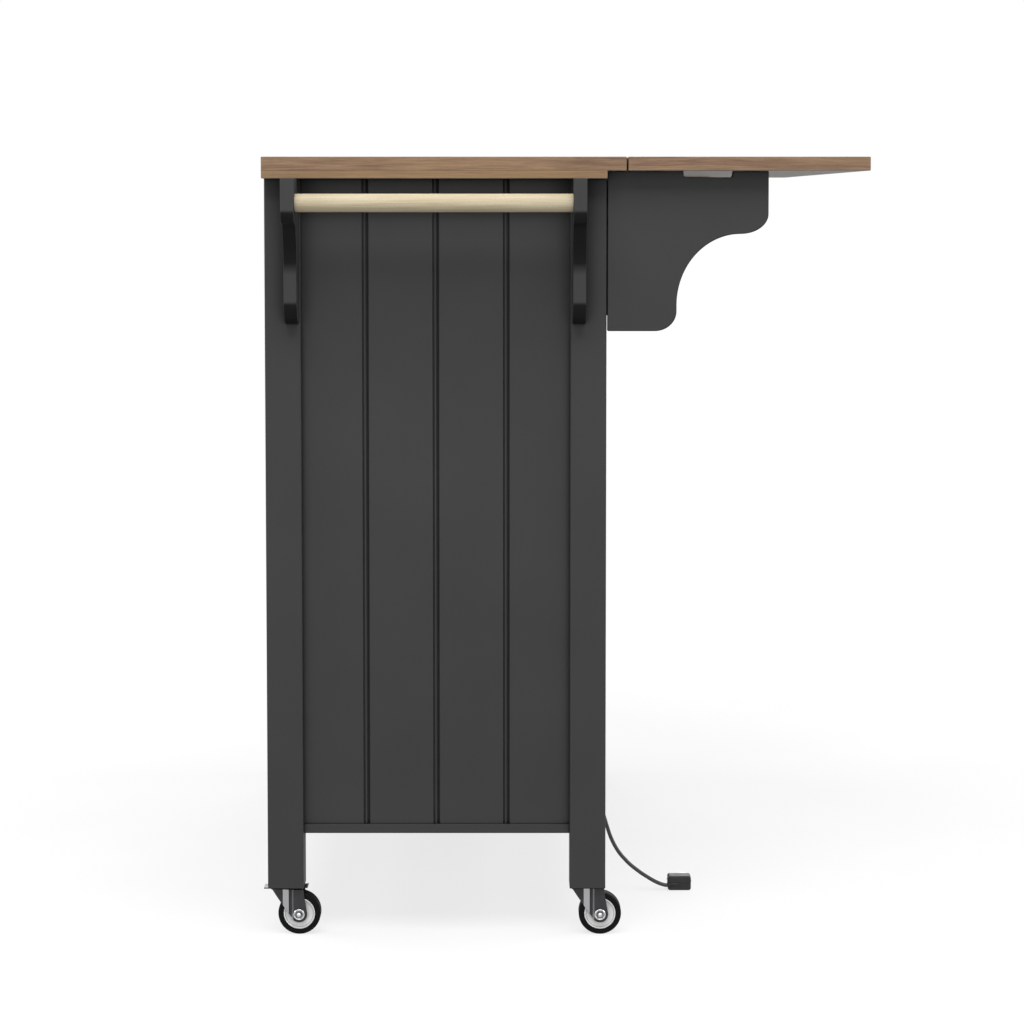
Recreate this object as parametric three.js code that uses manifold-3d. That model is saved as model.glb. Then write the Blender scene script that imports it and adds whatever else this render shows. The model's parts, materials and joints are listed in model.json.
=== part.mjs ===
// Drop leaf kitchen island on casters, in millimetres, +Z up.
// +X is the end that carries the towel bar, -Y is the front with doors and drawers,
// +Y is the back with the drop leaf, which is up and rests on its two wings.
// The origin is at the middle of the object's box, on the floor.

import * as THREE from 'three';
import { mergeVertices } from 'three/addons/utils/BufferGeometryUtils.js';
import Module from 'manifold-3d';

const wasm = await Module();
wasm.setup();

// ---------------------------------------------------------------- driving dimensions

// Counter and leaf
const counterHeight = 914;
const counterLength = 1060;
const counterDepth = 420; // front edge to the split, with the thin lip
const counterThickness = 25;
const leafDepth = 278;
const leafThickness = 16; // also the thickness of the lip beside it
const splitGap = 2;
const lipDepth = 22;
const endOverhang = 22;
const frontOverhang = 1.5;

// Legs, panels and boards
const legSize = 42;
const legCornerRadius = 2;
const legBottom = 57; // floor to the legs' lower ends
const cabinetBottom = 121.5; // floor to the cabinet's underside
const endPanelRecess = 11;
const endPanelThickness = 15;
const endRailRecess = 8;
const endRailHeight = 10.5;
const endRailDepth = 40;
const frontRailRecess = 2;
const frontRailDepth = 18;
const backPanelRecess = 6.5;
const backPanelThickness = 12;
const floorThickness = 15;
const deckThickness = 12; // deck: the board between the cupboards and the drawers
const drawerSpaceHeight = 145; // deck to the counter's underside
const shelfThickness = 16;
const shelfHeight = 430;
const shelfSetback = 6; // shelf's front edge behind the partition's
const partitionThickness = 18;

// Beadboard pattern
const boardPitch = 82;
const beadRadius = 1.3;
const beadSink = 0.2; // bead's crown below the board's face
const quirkWidth = 2;
const quirkDepth = 2;
const vGrooveWidth = 3.4;
const vGrooveDepth = 3;

// Doors and drawers
const frontRecess = 1; // faces of doors and drawers behind the legs' faces
const frontThickness = 18;
const frontGap = 3;
const doorFrameWidth = 56;
const doorPanelRecess = 5;
const doorGrooveWidth = 4;
const doorGrooveDepth = 2;
const doorRodRadius = 3;
const doorRodSeat = 9; // how far the rod enters the rail and the deck
const doorCollarRadius = 6;
const drawerBackGap = 9; // drawer box to the back panel
const drawerHeadroom = 24.7; // drawer box to the counter's underside
const drawerWall = 12;
const drawerBottom = 6;
const drawerSideGap = 3;
const drawerNotchWidth = 90;
const drawerNotchDepth = 20;
const doorNotchWidth = 57;
const doorNotchDepth = 15;
const doorNotchInset = 62; // free edge of the door to the notch's middle
const notchCornerRadius = 3;

// Wings that hold the leaf up
const wingThickness = 16;
const wingWidth = 186;
const wingHeight = 185;
const wingArmHeight = 72.5;
const wingFootWidth = 80;
const wingCornerHeight = 23;
const wingFootCornerWidth = 25;
const wingArmCornerWidth = 32;
const wingScoopHeight = 82;
const wingNotchWidth = 57;
const wingNotchDepth = 8;
const wingNotchMiddle = 116; // hinge edge to the notch's middle
const wingEdgeGap = 1;

// Strip hinges
const wingHingeLength = 150;
const wingHingeKnuckles = 5;
const wingHingeRadius = 2;
const leafHingeLength = 590;
const leafHingeKnuckles = 9;
const leafHingeRadius = 2.4;
const hingePlateThickness = 1;
const hingePlateWidth = 17;
const hingePinShare = 0.42; // pin radius over barrel radius
const hingeBoreShare = 0.62; // bore radius over barrel radius
const knuckleGap = 0.5;
const barrelEase = 0.1; // barrel's surface to the plane of the plates' backs

// Towel bar
const bracketReach = 75;
const bracketThickness = 15;
const bracketInset = 2.5; // bracket's side from the leg's inner face
const bracketFaceHeight = 36;
const bracketBrowRadius = 10;
const bracketScoopHeight = 65;
const bracketNoseReach = 30;
const bracketNoseHeight = 30;
const bracketChinRadius = 27;
const barRadius = 10.5;
const barDrop = 28; // counter's underside to the bar's middle
const barSetback = 20; // bracket's face to the bar's middle

// Casters. Reaches are measured along Y from the stem's axis.
const wheelRadius = 25;
const wheelWidth = 20;
const tyreShoulder = 2.5;
const hubRadius = 18.4;
const hubWebWidth = 12; // disc between the hub's boss and rim
const hubBossRadius = 8;
const hubRimThickness = 2.4;
const casterTrail = 15;
const forkTopGap = 1; // fork's top to the leg's lower end
const forkSheet = 2.4;
const forkInnerWidth = 25;
const forkFrontReach = 20.6;
const forkFlareDepth = 4.3; // slanted step at the top of the skirt
const forkFlareHeight = 3.7;
const forkBackReach = 19.8;
const forkBackDrop = 3; // fork's top to the upper corner of the cheeks' back edge
const forkRoofReach = 8;
const forkBossRadius = 9.6;
const forkNoseWidth = 25.2;
const ribFrontReach = 4.2; // a rib and a groove are pressed between skirt and cheek
const ribBackReach = 2.8;
const ribInset = 1; // rib's crest to the cheek's face
const grooveBackReach = 6.3;
const grooveInset = 1.9;
const cheekReach = 8.2;
const wheelTopGap = 1.5;
const wheelSideGap = 0.7;
const stemRadius = 5;
const stemLength = 36;
const axleRadius = 3.8;
const axleHeadRadius = 6.6;
const axleHeadHeight = 4;
const axleHeadChamfer = 1.5;
const axleCrownRadius = 4;
const wheelSegments = 32;
const hubSegments = 24;

// Brake levers on the two front casters, threaded on the stem between fork and leg
const leverWidth = 20;
const leverSheet = 1.2;
const leverRoom = 1.8; // braked fork's top below a plain one's
const leverFrontReach = 26.5;
const leverBendReach = 18.6;
const leverBackReach = 25;
const leverToeRise = 1;
const leverStemEase = 0.8;
const brakeShoeLength = 6;
const brakeShoeWidth = 12;
const brakeShoeGap = 0.95; // tyre to the shoe when the brake is off

// Power outlet, cord and plug
const cordInset = 232; // end of the legs to the cord's plane
const outletWidth = 116;
const outletHeight = 72;
const outletThickness = 4;
const outletMiddle = 480; // floor to its middle
const outletCornerRadius = 5;
const bladeSpread = 12.8; // between the middles of a plug's two blades
const slotWidth = 2.2;
const slotHeight = 9;
const slotRise = 3.5; // slots' middle above the plate's middle
const groundSlotWidth = 4.8;
const groundSlotHeight = 5;
const groundSlotDrop = 8.5;
const glandWidth = 24;
const glandDepth = 9;
const glandHeight = 22;
const glandBottom = 124;
const reliefInset = 4.2; // panel's face to the top of the relief's axis
const reliefSink = 2; // top of the relief above the gland's lower edge
const reliefTopRadius = 4.3;
const reliefEndRadius = 3.1;
const cordRadius = 2.4;
const plugWidth = 20;
const plugLength = 29;
const plugHeight = 18;
const plugBottom = 0.3;
const plugEdgeRadius = 3;
const plugFaceReach = 2; // cord's axis to the plug's near face
const wedgeLength = 14; // tapered relief that runs from the cord on to the near face
const wedgeRadius = 3.2;
const wedgeTipRadius = 1.6;
const wedgeRise = 2;
const bladeLength = 17;
const bladeThickness = 1.6;
const bladeBreadth = 6.5;
const bladeInset = 9; // plug's far side to the blades' middle
const groundPinOffset = 11.9; // blades' middle to the ground pin's
const groundPinLength = 20;
const groundPinRadius = 2.3;

// Clearances between pieces that are cut by, or move beside, one another
const clearance = 0.3;
const cutMargin = 1; // how far a cutting solid runs past what it cuts

// ---------------------------------------------------------------- derived places
// Here y = 0 is the legs' front face and x = 0 the middle of the body.

const legOuter = counterLength / 2 - endOverhang;
const legInner = legOuter - legSize;
const legMiddle = legOuter - legSize / 2;
const legBack = counterDepth - lipDepth - frontOverhang;
const legBackInner = legBack - legSize;
const topUnderside = counterHeight - counterThickness;
const leafUnderside = counterHeight - leafThickness;
const lipBack = counterDepth - frontOverhang;
const leafFront = lipBack + splitGap;
const leafBack = leafFront + leafDepth;

const endPanelOuter = legOuter - endPanelRecess;
const endPanelInner = endPanelOuter - endPanelThickness;
const endRailOuter = legOuter - endRailRecess;
const endRailTop = cabinetBottom + endRailHeight;
const floorTop = endRailTop + floorThickness;
const deckTop = topUnderside - drawerSpaceHeight;
const deckHeight = deckTop - deckThickness;
const backPanelOuter = legBack - backPanelRecess;
const backPanelInner = backPanelOuter - backPanelThickness;
const frontRailBack = frontRailRecess + frontRailDepth;
const partitionHalf = partitionThickness / 2;

const frontFace = frontRecess;
const frontBack = frontFace + frontThickness;
const partitionFront = frontBack + clearance;
const frontOuterEdge = legInner - frontGap;
const frontInnerEdge = frontGap / 2;
const doorBottom = floorTop + frontGap;
const doorTop = deckHeight - frontGap;
const doorRodX = frontOuterEdge - frontThickness / 2;
const doorRodY = frontFace + frontThickness / 2;
const drawerFrontBottom = deckTop + frontGap;
const drawerFrontTop = topUnderside - frontGap;

const wingTop = leafUnderside - clearance;
const wingInner = legOuter - wingThickness;
const wingFront = legBack + wingEdgeGap;
const wingHingeX = wingInner - wingHingeRadius;
const wingHingeY = legBack + wingHingeRadius;
const leafHingeY = lipBack + splitGap / 2;
const leafHingeZ = leafUnderside - leafHingeRadius;

const barX = legOuter + bracketReach - barSetback;
const barZ = topUnderside - barDrop;

const casterFront = legSize / 2;
const casterBack = legBack - legSize / 2;
const forkTop = legBottom - forkTopGap;
const forkHalf = forkInnerWidth / 2 + forkSheet;
const forkNoseHalf = forkNoseWidth / 2;
const forkWheelHalf = wheelWidth / 2 + wheelSideGap;
const leverBottom = forkTop - leverRoom + clearance;
const leverTop = leverBottom + leverSheet;

const cordX = legOuter - cordInset;

const X = new THREE.Vector3(1, 0, 0);
const Y = new THREE.Vector3(0, 1, 0);
const Z = new THREE.Vector3(0, 0, 1);

// ---------------------------------------------------------------- materials

const finish = (color, roughness, metalness) =>
  new THREE.MeshStandardMaterial({ color, roughness, metalness });

const oak = finish(0x9a7a5e, 0.55, 0);
const paint = finish(0x464646, 0.5, 0);
const paleWood = finish(0xe0d3b7, 0.6, 0);
const birch = finish(0xcdb48f, 0.6, 0);
const blackSteel = finish(0x2e2e30, 0.4, 0.4);
const zincSteel = finish(0xb9bbbd, 0.35, 1);
const hubNylon = finish(0xd9dadb, 0.4, 0);
const tyreRubber = finish(0x1b1b1c, 0.8, 0);
const blackPlastic = finish(0x3a3a3b, 0.45, 0);

// ---------------------------------------------------------------- solid helpers

// A closed solid that manifold-3d can join and cut.
function toSolid(geometry) {
  const bare = geometry.clone();
  bare.deleteAttribute('normal');
  bare.deleteAttribute('uv');
  const merged = mergeVertices(bare);
  const index = merged.index.array;
  const triangles = [];
  for (let i = 0; i < index.length; i += 3) {
    const [a, b, c] = [index[i], index[i + 1], index[i + 2]];
    if (a !== b && b !== c && c !== a) triangles.push(a, b, c);
  }
  return new wasm.Manifold(new wasm.Mesh({
    numProp: 3,
    vertProperties: Float32Array.from(merged.attributes.position.array),
    triVerts: Uint32Array.from(triangles),
  }));
}

function toGeometry(solid) {
  const { vertProperties, triVerts } = solid.getMesh();
  const geometry = new THREE.BufferGeometry();
  geometry.setAttribute('position', new THREE.BufferAttribute(vertProperties, 3));
  geometry.setIndex(new THREE.BufferAttribute(triVerts, 1));
  geometry.computeVertexNormals();
  return geometry;
}

function cut(geometry, ...tools) {
  let solid = toSolid(geometry);
  for (const tool of tools) solid = solid.subtract(toSolid(tool));
  return toGeometry(solid);
}

function join(geometry, ...others) {
  let solid = toSolid(geometry);
  for (const other of others) solid = solid.add(toSolid(other));
  return toGeometry(solid);
}

function meet(geometry, other) {
  return toGeometry(toSolid(geometry).intersect(toSolid(other)));
}

// A box between two values on each axis.
function block([x0, x1], [y0, y1], [z0, z1]) {
  const geometry = new THREE.BoxGeometry(x1 - x0, y1 - y0, z1 - z0);
  return geometry.translate((x0 + x1) / 2, (y0 + y1) / 2, (z0 + z1) / 2);
}

// An outline drawn in the two other axes, extruded along one axis from low to high.
function prism(axis, shape, low, high, curveSegments = 6) {
  const settings = { depth: high - low, bevelEnabled: false, curveSegments };
  const geometry = new THREE.ExtrudeGeometry(shape, settings);
  const place = new THREE.Matrix4();
  if (axis === 'x') place.makeBasis(Y, Z, X).setPosition(low, 0, 0);
  if (axis === 'y') place.makeBasis(X, Z, Y.clone().negate()).setPosition(0, high, 0);
  if (axis === 'z') place.makeTranslation(0, 0, low);
  return geometry.applyMatrix4(place);
}

// A solid of revolution about a line through (y, z) along X, from [radius, x] points.
function turnedAlongX(points, y, z, segments) {
  const profile = points.map(([radius, x]) => new THREE.Vector2(radius, x));
  const geometry = new THREE.LatheGeometry(profile, segments, Math.PI / segments);
  const place = new THREE.Matrix4().makeBasis(Y, X, Z.clone().negate()).setPosition(0, y, z);
  return geometry.applyMatrix4(place);
}

// The same about an upright line through (x, y), from [radius, z] points.
function turnedAlongZ(points, x, y, segments) {
  const profile = points.map(([radius, z]) => new THREE.Vector2(radius, z));
  const geometry = new THREE.LatheGeometry(profile, segments);
  return geometry.rotateX(Math.PI / 2).translate(x, y, 0);
}

const rodAlongX = (radius, x0, x1, y, z, segments = 16) =>
  turnedAlongX([[0, x0], [radius, x0], [radius, x1], [0, x1]], y, z, segments);
const rodAlongZ = (radius, z0, z1, x, y, segments = 16) =>
  turnedAlongZ([[0, z0], [radius, z0], [radius, z1], [0, z1]], x, y, segments);

// A polygon through plain [u, v] points.
function outline(points) {
  return new THREE.Shape(points.map(([u, v]) => new THREE.Vector2(u, v)));
}

// Where a line from a point touches a circle, as an angle, on one side or the other.
function touchAngle([u, v], [middleU, middleV], radius, side) {
  const distance = Math.hypot(u - middleU, v - middleV);
  return Math.atan2(v - middleV, u - middleU) + side * Math.acos(radius / distance);
}

function roundedRectangle([u0, u1], [v0, v1], radius) {
  const shape = new THREE.Shape();
  shape.absarc(u1 - radius, v0 + radius, radius, -Math.PI / 2, 0);
  shape.absarc(u1 - radius, v1 - radius, radius, 0, Math.PI / 2);
  shape.absarc(u0 + radius, v1 - radius, radius, Math.PI / 2, Math.PI);
  shape.absarc(u0 + radius, v0 + radius, radius, Math.PI, 1.5 * Math.PI);
  shape.closePath();
  return shape;
}

// A shallow finger notch that is open at the top, with rounded lower corners.
function notchOutline(middle, width, top, depth) {
  const [left, right] = [middle - width / 2, middle + width / 2];
  const bottom = top - depth;
  const radius = notchCornerRadius;
  const shape = new THREE.Shape();
  shape.moveTo(left, top + cutMargin);
  shape.lineTo(left, bottom + radius);
  shape.absarc(left + radius, bottom + radius, radius, Math.PI, 1.5 * Math.PI);
  shape.absarc(right - radius, bottom + radius, radius, -Math.PI / 2, 0);
  shape.lineTo(right, top + cutMargin);
  shape.closePath();
  return shape;
}

// ---------------------------------------------------------------- assembly

// The body is modelled about its own middle, then set so that the origin is under
// the middle of the whole box, from the far counter end to the brackets' faces and
// from the brake levers' tips to the leaf's edge.
const boxMiddleX = (legOuter + bracketReach - counterLength / 2) / 2;
const boxFront = Math.min(-frontOverhang, casterFront - leverFrontReach);
const boxMiddleY = (boxFront + leafBack) / 2;

const island = new THREE.Group();
island.position.set(-boxMiddleX, -boxMiddleY, 0);

function add(name, geometry, material, parent = island) {
  const mesh = new THREE.Mesh(geometry, material);
  mesh.name = name;
  parent.add(mesh);
  return mesh;
}

// The two ends and the two sides of the body, by name and by sign.
const ends = [['right', 1], ['left', -1]];
const sides = [['front', casterFront], ['back', casterBack]];

// A piece drawn for the right end, mirrored for the left one. Turning the triangles
// round keeps the mirrored faces pointing out.
function forEnd(geometry, sign) {
  if (sign > 0) return geometry;
  const plain = geometry.index ? geometry.toNonIndexed() : geometry.clone();
  const place = plain.attributes.position;
  for (let i = 0; i < place.count; i += 3) {
    for (let k = 0; k < 3; k += 1) place.setX(i + k, -place.getX(i + k));
    const [x, y, z] = [place.getX(i), place.getY(i), place.getZ(i)];
    place.setXYZ(i, place.getX(i + 1), place.getY(i + 1), place.getZ(i + 1));
    place.setXYZ(i + 1, x, y, z);
  }
  plain.computeVertexNormals();
  return plain;
}

// ---------------------------------------------------------------- counter and leaf

function mainTop() {
  const profile = outline([
    [-frontOverhang, topUnderside],
    [legBack, topUnderside],
    [legBack, leafUnderside],
    [lipBack, leafUnderside],
    [lipBack, counterHeight],
    [-frontOverhang, counterHeight],
  ]);
  return prism('x', profile, -counterLength / 2, counterLength / 2);
}

function dropLeaf() {
  const half = counterLength / 2;
  return block([-half, half], [leafFront, leafBack], [leafUnderside, counterHeight]);
}

// ---------------------------------------------------------------- legs and boards

function leg(middleY) {
  const section = roundedRectangle(
    [legInner, legOuter],
    [middleY - legSize / 2, middleY + legSize / 2],
    legCornerRadius,
  );
  const stemHole = rodAlongZ(
    stemRadius + clearance, legBottom - cutMargin, legBottom + stemLength + cutMargin,
    legMiddle, middleY,
  );
  return cut(prism('z', section, legBottom, topUnderside, 2), stemHole);
}

// One bead with its quirk and V groove, as steps of [along, depth] across the board.
function beadSteps(middle) {
  const start = middle - (quirkWidth + 2 * beadRadius + vGrooveWidth) / 2;
  const beadStart = start + quirkWidth;
  const steps = [[start, 0], [start + quirkWidth / 2, quirkDepth]];
  for (let i = 0; i <= 4; i += 1) {
    const turn = Math.PI * i / 4;
    const along = beadStart + beadRadius * (1 - Math.cos(turn));
    steps.push([along, beadRadius * (1 - Math.sin(turn)) + beadSink]);
  }
  const grooveStart = beadStart + 2 * beadRadius;
  steps.push([grooveStart + vGrooveWidth / 2, vGrooveDepth], [grooveStart + vGrooveWidth, 0]);
  return steps;
}

// The grooves that fit on a board from low to high, evenly about its middle.
function beadMiddles(low, high) {
  const boards = Math.max(1, Math.floor((high - low) / boardPitch) + 1);
  const middle = (low + high) / 2;
  const middles = [];
  for (let i = 1; i < boards; i += 1) middles.push(middle + (i - boards / 2) * boardPitch);
  return middles;
}

function endPanel() {
  const [front, back] = [legSize, legBackInner];
  const points = [[endPanelInner, front], [endPanelOuter, front]];
  for (const middle of beadMiddles(front, back)) {
    for (const [along, depth] of beadSteps(middle)) points.push([endPanelOuter - depth, along]);
  }
  points.push([endPanelOuter, back], [endPanelInner, back]);
  return prism('z', outline(points), endRailTop, topUnderside);
}

function backPanel() {
  const points = [[legInner, backPanelInner], [legInner, backPanelOuter]];
  for (const middle of beadMiddles(-legInner, legInner).reverse()) {
    for (const [along, depth] of beadSteps(middle).reverse()) {
      points.push([along, backPanelOuter - depth]);
    }
  }
  points.push([-legInner, backPanelOuter], [-legInner, backPanelInner]);
  return prism('z', outline(points), cabinetBottom, topUnderside);
}

function endRail() {
  return block(
    [endRailOuter - endRailDepth, endRailOuter],
    [legSize, legBackInner],
    [cabinetBottom, endRailTop],
  );
}

// A board that fills the cabinet's plan and is notched round the legs.
function notchedBoard([x0, x1], front, z0, z1) {
  const corners = [];
  const frontNotch = front < legSize;
  const side = (x, inner) => (frontNotch
    ? [[inner, front], [inner, legSize], [x, legSize]]
    : [[x, front]]);
  if (x1 > legInner) {
    corners.push(...side(x1, legInner), [x1, legBackInner], [legInner, legBackInner]);
  } else corners.push([x1, front]);
  corners.push([Math.min(x1, legInner), backPanelInner], [Math.max(x0, -legInner), backPanelInner]);
  if (x0 < -legInner) {
    corners.push([-legInner, legBackInner], [x0, legBackInner], ...side(x0, -legInner).reverse());
  } else corners.push([x0, front]);
  return prism('z', outline(corners), z0, z1);
}

// The rail and the deck hold the ends of the door rods.
function doorRodHole(z0, z1) {
  return rodAlongZ(doorRodRadius + clearance, z0, z1, doorRodX, doorRodY);
}

function frontRail() {
  const rail = block(
    [-legInner, legInner], [frontRailRecess, frontRailBack], [cabinetBottom, floorTop],
  );
  const hole = doorRodHole(floorTop - doorRodSeat - clearance, floorTop + cutMargin);
  return cut(rail, hole, forEnd(hole, -1));
}

function deck() {
  const board = notchedBoard(
    [-endPanelInner, endPanelInner], frontRailRecess, deckHeight, deckTop,
  );
  const hole = doorRodHole(deckHeight - cutMargin, deckHeight + doorRodSeat + clearance);
  return cut(board, hole, forEnd(hole, -1));
}

function cabinetFloor() {
  return notchedBoard([-endPanelInner, endPanelInner], frontRailBack, endRailTop, floorTop);
}

function shelf() {
  return notchedBoard(
    [partitionHalf, endPanelInner], partitionFront + shelfSetback,
    shelfHeight, shelfHeight + shelfThickness,
  );
}

function divider(z0, z1) {
  return block([-partitionHalf, partitionHalf], [partitionFront, backPanelInner], [z0, z1]);
}

// ---------------------------------------------------------------- doors and drawers

// A slab with a half round hinge edge, a bore for its rod, a sunk and grooved panel
// and a finger notch in its top edge.
function door() {
  const radius = frontThickness / 2;
  const plan = new THREE.Shape();
  plan.moveTo(frontInnerEdge, frontFace);
  plan.lineTo(doorRodX, frontFace);
  plan.absarc(doorRodX, doorRodY, radius, -Math.PI / 2, Math.PI / 2);
  plan.lineTo(frontInnerEdge, frontBack);
  plan.closePath();
  const slab = prism('z', plan, doorBottom, doorTop, 6);
  const bore = doorRodHole(doorBottom - cutMargin, doorTop + cutMargin);

  const panelX = [frontInnerEdge + doorFrameWidth, frontOuterEdge - doorFrameWidth];
  const panelZ = [doorBottom + doorFrameWidth, doorTop - doorFrameWidth];
  const panelFace = frontFace + doorPanelRecess;
  const sunk = block(panelX, [frontFace - cutMargin, panelFace], panelZ);
  const grooves = beadMiddles(...panelX).map((middle) => {
    const vee = outline([
      [middle - doorGrooveWidth / 2, panelFace - cutMargin],
      [middle + doorGrooveWidth / 2, panelFace - cutMargin],
      [middle + doorGrooveWidth / 2, panelFace],
      [middle, panelFace + doorGrooveDepth],
      [middle - doorGrooveWidth / 2, panelFace],
    ]);
    return prism('z', vee, ...panelZ);
  });
  const middle = frontInnerEdge + doorNotchInset;
  const notch = prism(
    'y', notchOutline(middle, doorNotchWidth, doorTop, doorNotchDepth),
    frontFace - cutMargin, frontBack + cutMargin, 4,
  );
  return cut(slab, bore, sunk, ...grooves, notch);
}

// The upright rod that a door turns on, with the collar that carries the door.
function doorRod() {
  return turnedAlongZ([
    [0, floorTop - doorRodSeat],
    [doorRodRadius, floorTop - doorRodSeat],
    [doorRodRadius, floorTop],
    [doorCollarRadius, floorTop],
    [doorCollarRadius, doorBottom - clearance],
    [doorRodRadius, doorBottom - clearance],
    [doorRodRadius, deckHeight + doorRodSeat],
    [0, deckHeight + doorRodSeat],
  ], doorRodX, doorRodY, 16);
}

function drawerFront() {
  const slab = block(
    [frontInnerEdge, frontOuterEdge],
    [frontFace, frontBack],
    [drawerFrontBottom, drawerFrontTop],
  );
  const middle = (frontInnerEdge + frontOuterEdge) / 2;
  const notch = prism(
    'y', notchOutline(middle, drawerNotchWidth, drawerFrontTop, drawerNotchDepth),
    frontFace - cutMargin, frontBack + cutMargin, 4,
  );
  return cut(slab, notch);
}

function drawerBox() {
  const [x0, x1] = [partitionHalf + drawerSideGap, legInner - drawerSideGap];
  const [y0, y1] = [frontBack, backPanelInner - drawerBackGap];
  const [z0, z1] = [deckTop + clearance, topUnderside - drawerHeadroom];
  const outside = block([x0, x1], [y0, y1], [z0, z1]);
  const inside = block(
    [x0 + drawerWall, x1 - drawerWall],
    [y0 + drawerWall, y1 - drawerWall],
    [z0 + drawerBottom, z1 + cutMargin],
  );
  return cut(outside, inside);
}

// ---------------------------------------------------------------- wings and hinges

function wing() {
  const shape = new THREE.Shape();
  const [inner, outer] = [wingFront, wingFront + wingWidth];
  const bottom = wingTop - wingHeight;
  const armBottom = wingTop - wingArmHeight;
  const foot = inner + wingFootWidth;
  const scoopEnd = outer - wingArmCornerWidth;
  const corner = (middle, low, width) => shape.absellipse(
    middle, low + wingCornerHeight, width, wingCornerHeight, -Math.PI / 2, 0, false,
  );
  shape.moveTo(inner, wingTop);
  shape.lineTo(inner, bottom);
  corner(foot - wingFootCornerWidth, bottom, wingFootCornerWidth);
  shape.absellipse(
    scoopEnd, armBottom - wingScoopHeight, scoopEnd - foot, wingScoopHeight,
    Math.PI, Math.PI / 2, true,
  );
  corner(scoopEnd, armBottom, wingArmCornerWidth);
  shape.lineTo(outer, wingTop);
  shape.closePath();
  const board = prism('x', shape, wingInner, legOuter, 7);
  const notch = prism(
    'x', notchOutline(inner + wingNotchMiddle, wingNotchWidth, wingTop, wingNotchDepth),
    wingInner - cutMargin, legOuter + cutMargin, 4,
  );
  return cut(board, notch);
}

// One half of a strip hinge. The barrel lies on the local Z axis, the plate runs along
// +X and its back is the plane that touches the board, one radius towards +Y. Knuckles
// alternate: the half with the pin has the even ones, and both ends.
function hingeHalf(length, knuckles, radius, width, withPin) {
  const pitch = length / knuckles;
  const barrel = radius - barrelEase;
  const [near, far] = [radius - hingePlateThickness, radius];
  let solid = toSolid(block([radius, width], [near, far], [-length / 2, length / 2]));
  for (let i = withPin ? 0 : 1; i < knuckles; i += 2) {
    const z0 = -length / 2 + i * pitch + knuckleGap / 2;
    const z1 = z0 + pitch - knuckleGap;
    solid = solid.add(toSolid(rodAlongZ(barrel, z0, z1, 0, 0, 12)));
    solid = solid.add(toSolid(block([0, radius + cutMargin], [near, far], [z0, z1])));
  }
  const [pinRadius, boreRadius] = [barrel * hingePinShare, barrel * hingeBoreShare];
  const [pinEnd, boreEnd] = [length / 2 - knuckleGap, length / 2 + cutMargin];
  const pin = toSolid(rodAlongZ(pinRadius, -pinEnd, pinEnd, 0, 0, 8));
  const bore = toSolid(rodAlongZ(boreRadius, -boreEnd, boreEnd, 0, 0, 8));
  return toGeometry(withPin ? solid.add(pin) : solid.subtract(bore));
}

// Sets a hinge half so that its plate runs along one direction from the barrel and its
// back faces another.
function setHinge(geometry, along, towards, x, y, z) {
  const place = new THREE.Matrix4();
  place.makeBasis(along, towards, along.clone().cross(towards)).setPosition(x, y, z);
  return geometry.applyMatrix4(place);
}

const minusX = X.clone().negate();
const minusY = Y.clone().negate();
const wingHingeZ = wingTop - wingHeight / 2;

function wingHinge(withPin) {
  const half = hingeHalf(
    wingHingeLength, wingHingeKnuckles, wingHingeRadius, hingePlateWidth, withPin,
  );
  const [along, towards] = withPin ? [minusX, minusY] : [Y, X];
  return setHinge(half, along, towards, wingHingeX, wingHingeY, wingHingeZ);
}

function leafHinge(withPin) {
  const half = hingeHalf(
    leafHingeLength, leafHingeKnuckles, leafHingeRadius, hingePlateWidth, withPin,
  );
  return setHinge(half, withPin ? minusY : Y, Z, 0, leafHingeY, leafHingeZ);
}

// ---------------------------------------------------------------- towel bar

const bracketFrontY = legSize - bracketInset - bracketThickness;
const bracketBackY = legBackInner + bracketInset;

// A corbel: a straight face, a brow that rolls under, a long scoop, a nose and a chin.
function bracket(y0) {
  const shape = new THREE.Shape();
  const face = legOuter + bracketReach;
  const nose = legOuter + bracketNoseReach;
  const brow = topUnderside - bracketFaceHeight;
  const scoopTop = brow - bracketBrowRadius;
  const scoopEnd = scoopTop - bracketScoopHeight;
  const chin = scoopEnd - bracketNoseHeight;
  const browX = face - bracketBrowRadius;
  const chinX = nose - bracketChinRadius;
  shape.moveTo(legOuter, topUnderside);
  shape.lineTo(face, topUnderside);
  shape.absarc(browX, brow, bracketBrowRadius, 0, -Math.PI / 2, true);
  shape.absellipse(browX, scoopEnd, browX - nose, bracketScoopHeight, Math.PI / 2, Math.PI, false);
  shape.absarc(chinX, chin, bracketChinRadius, 0, -Math.PI / 2, true);
  shape.lineTo(legOuter, chin - bracketChinRadius);
  shape.closePath();
  return prism('y', shape, y0, y0 + bracketThickness, 5);
}

function towelBar() {
  const [y0, y1] = [bracketFrontY + bracketThickness, bracketBackY];
  const bar = new THREE.CylinderGeometry(barRadius, barRadius, y1 - y0, 24);
  return bar.translate(barX, (y0 + y1) / 2, barZ);
}

// ---------------------------------------------------------------- casters

// Casters are drawn with the stem's axis at x = y = 0 and the wheel trailing to +Y.

// The fork from the side: the skirt slants down from its top to the boss at the axle.
function forkSide(top) {
  const boss = [casterTrail, wheelRadius];
  const flare = [-forkFrontReach + forkFlareDepth, forkTop - forkFlareHeight];
  const back = [forkBackReach, forkTop - forkBackDrop];
  const start = touchAngle(flare, boss, forkBossRadius, 1);
  const end = touchAngle(back, boss, forkBossRadius, -1);
  const shape = new THREE.Shape();
  shape.moveTo(back[0], top);
  shape.lineTo(-forkFrontReach, top);
  shape.lineTo(...flare);
  shape.absarc(...boss, forkBossRadius, start, end + 2 * Math.PI);
  shape.lineTo(...back);
  shape.closePath();
  return shape;
}

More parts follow.
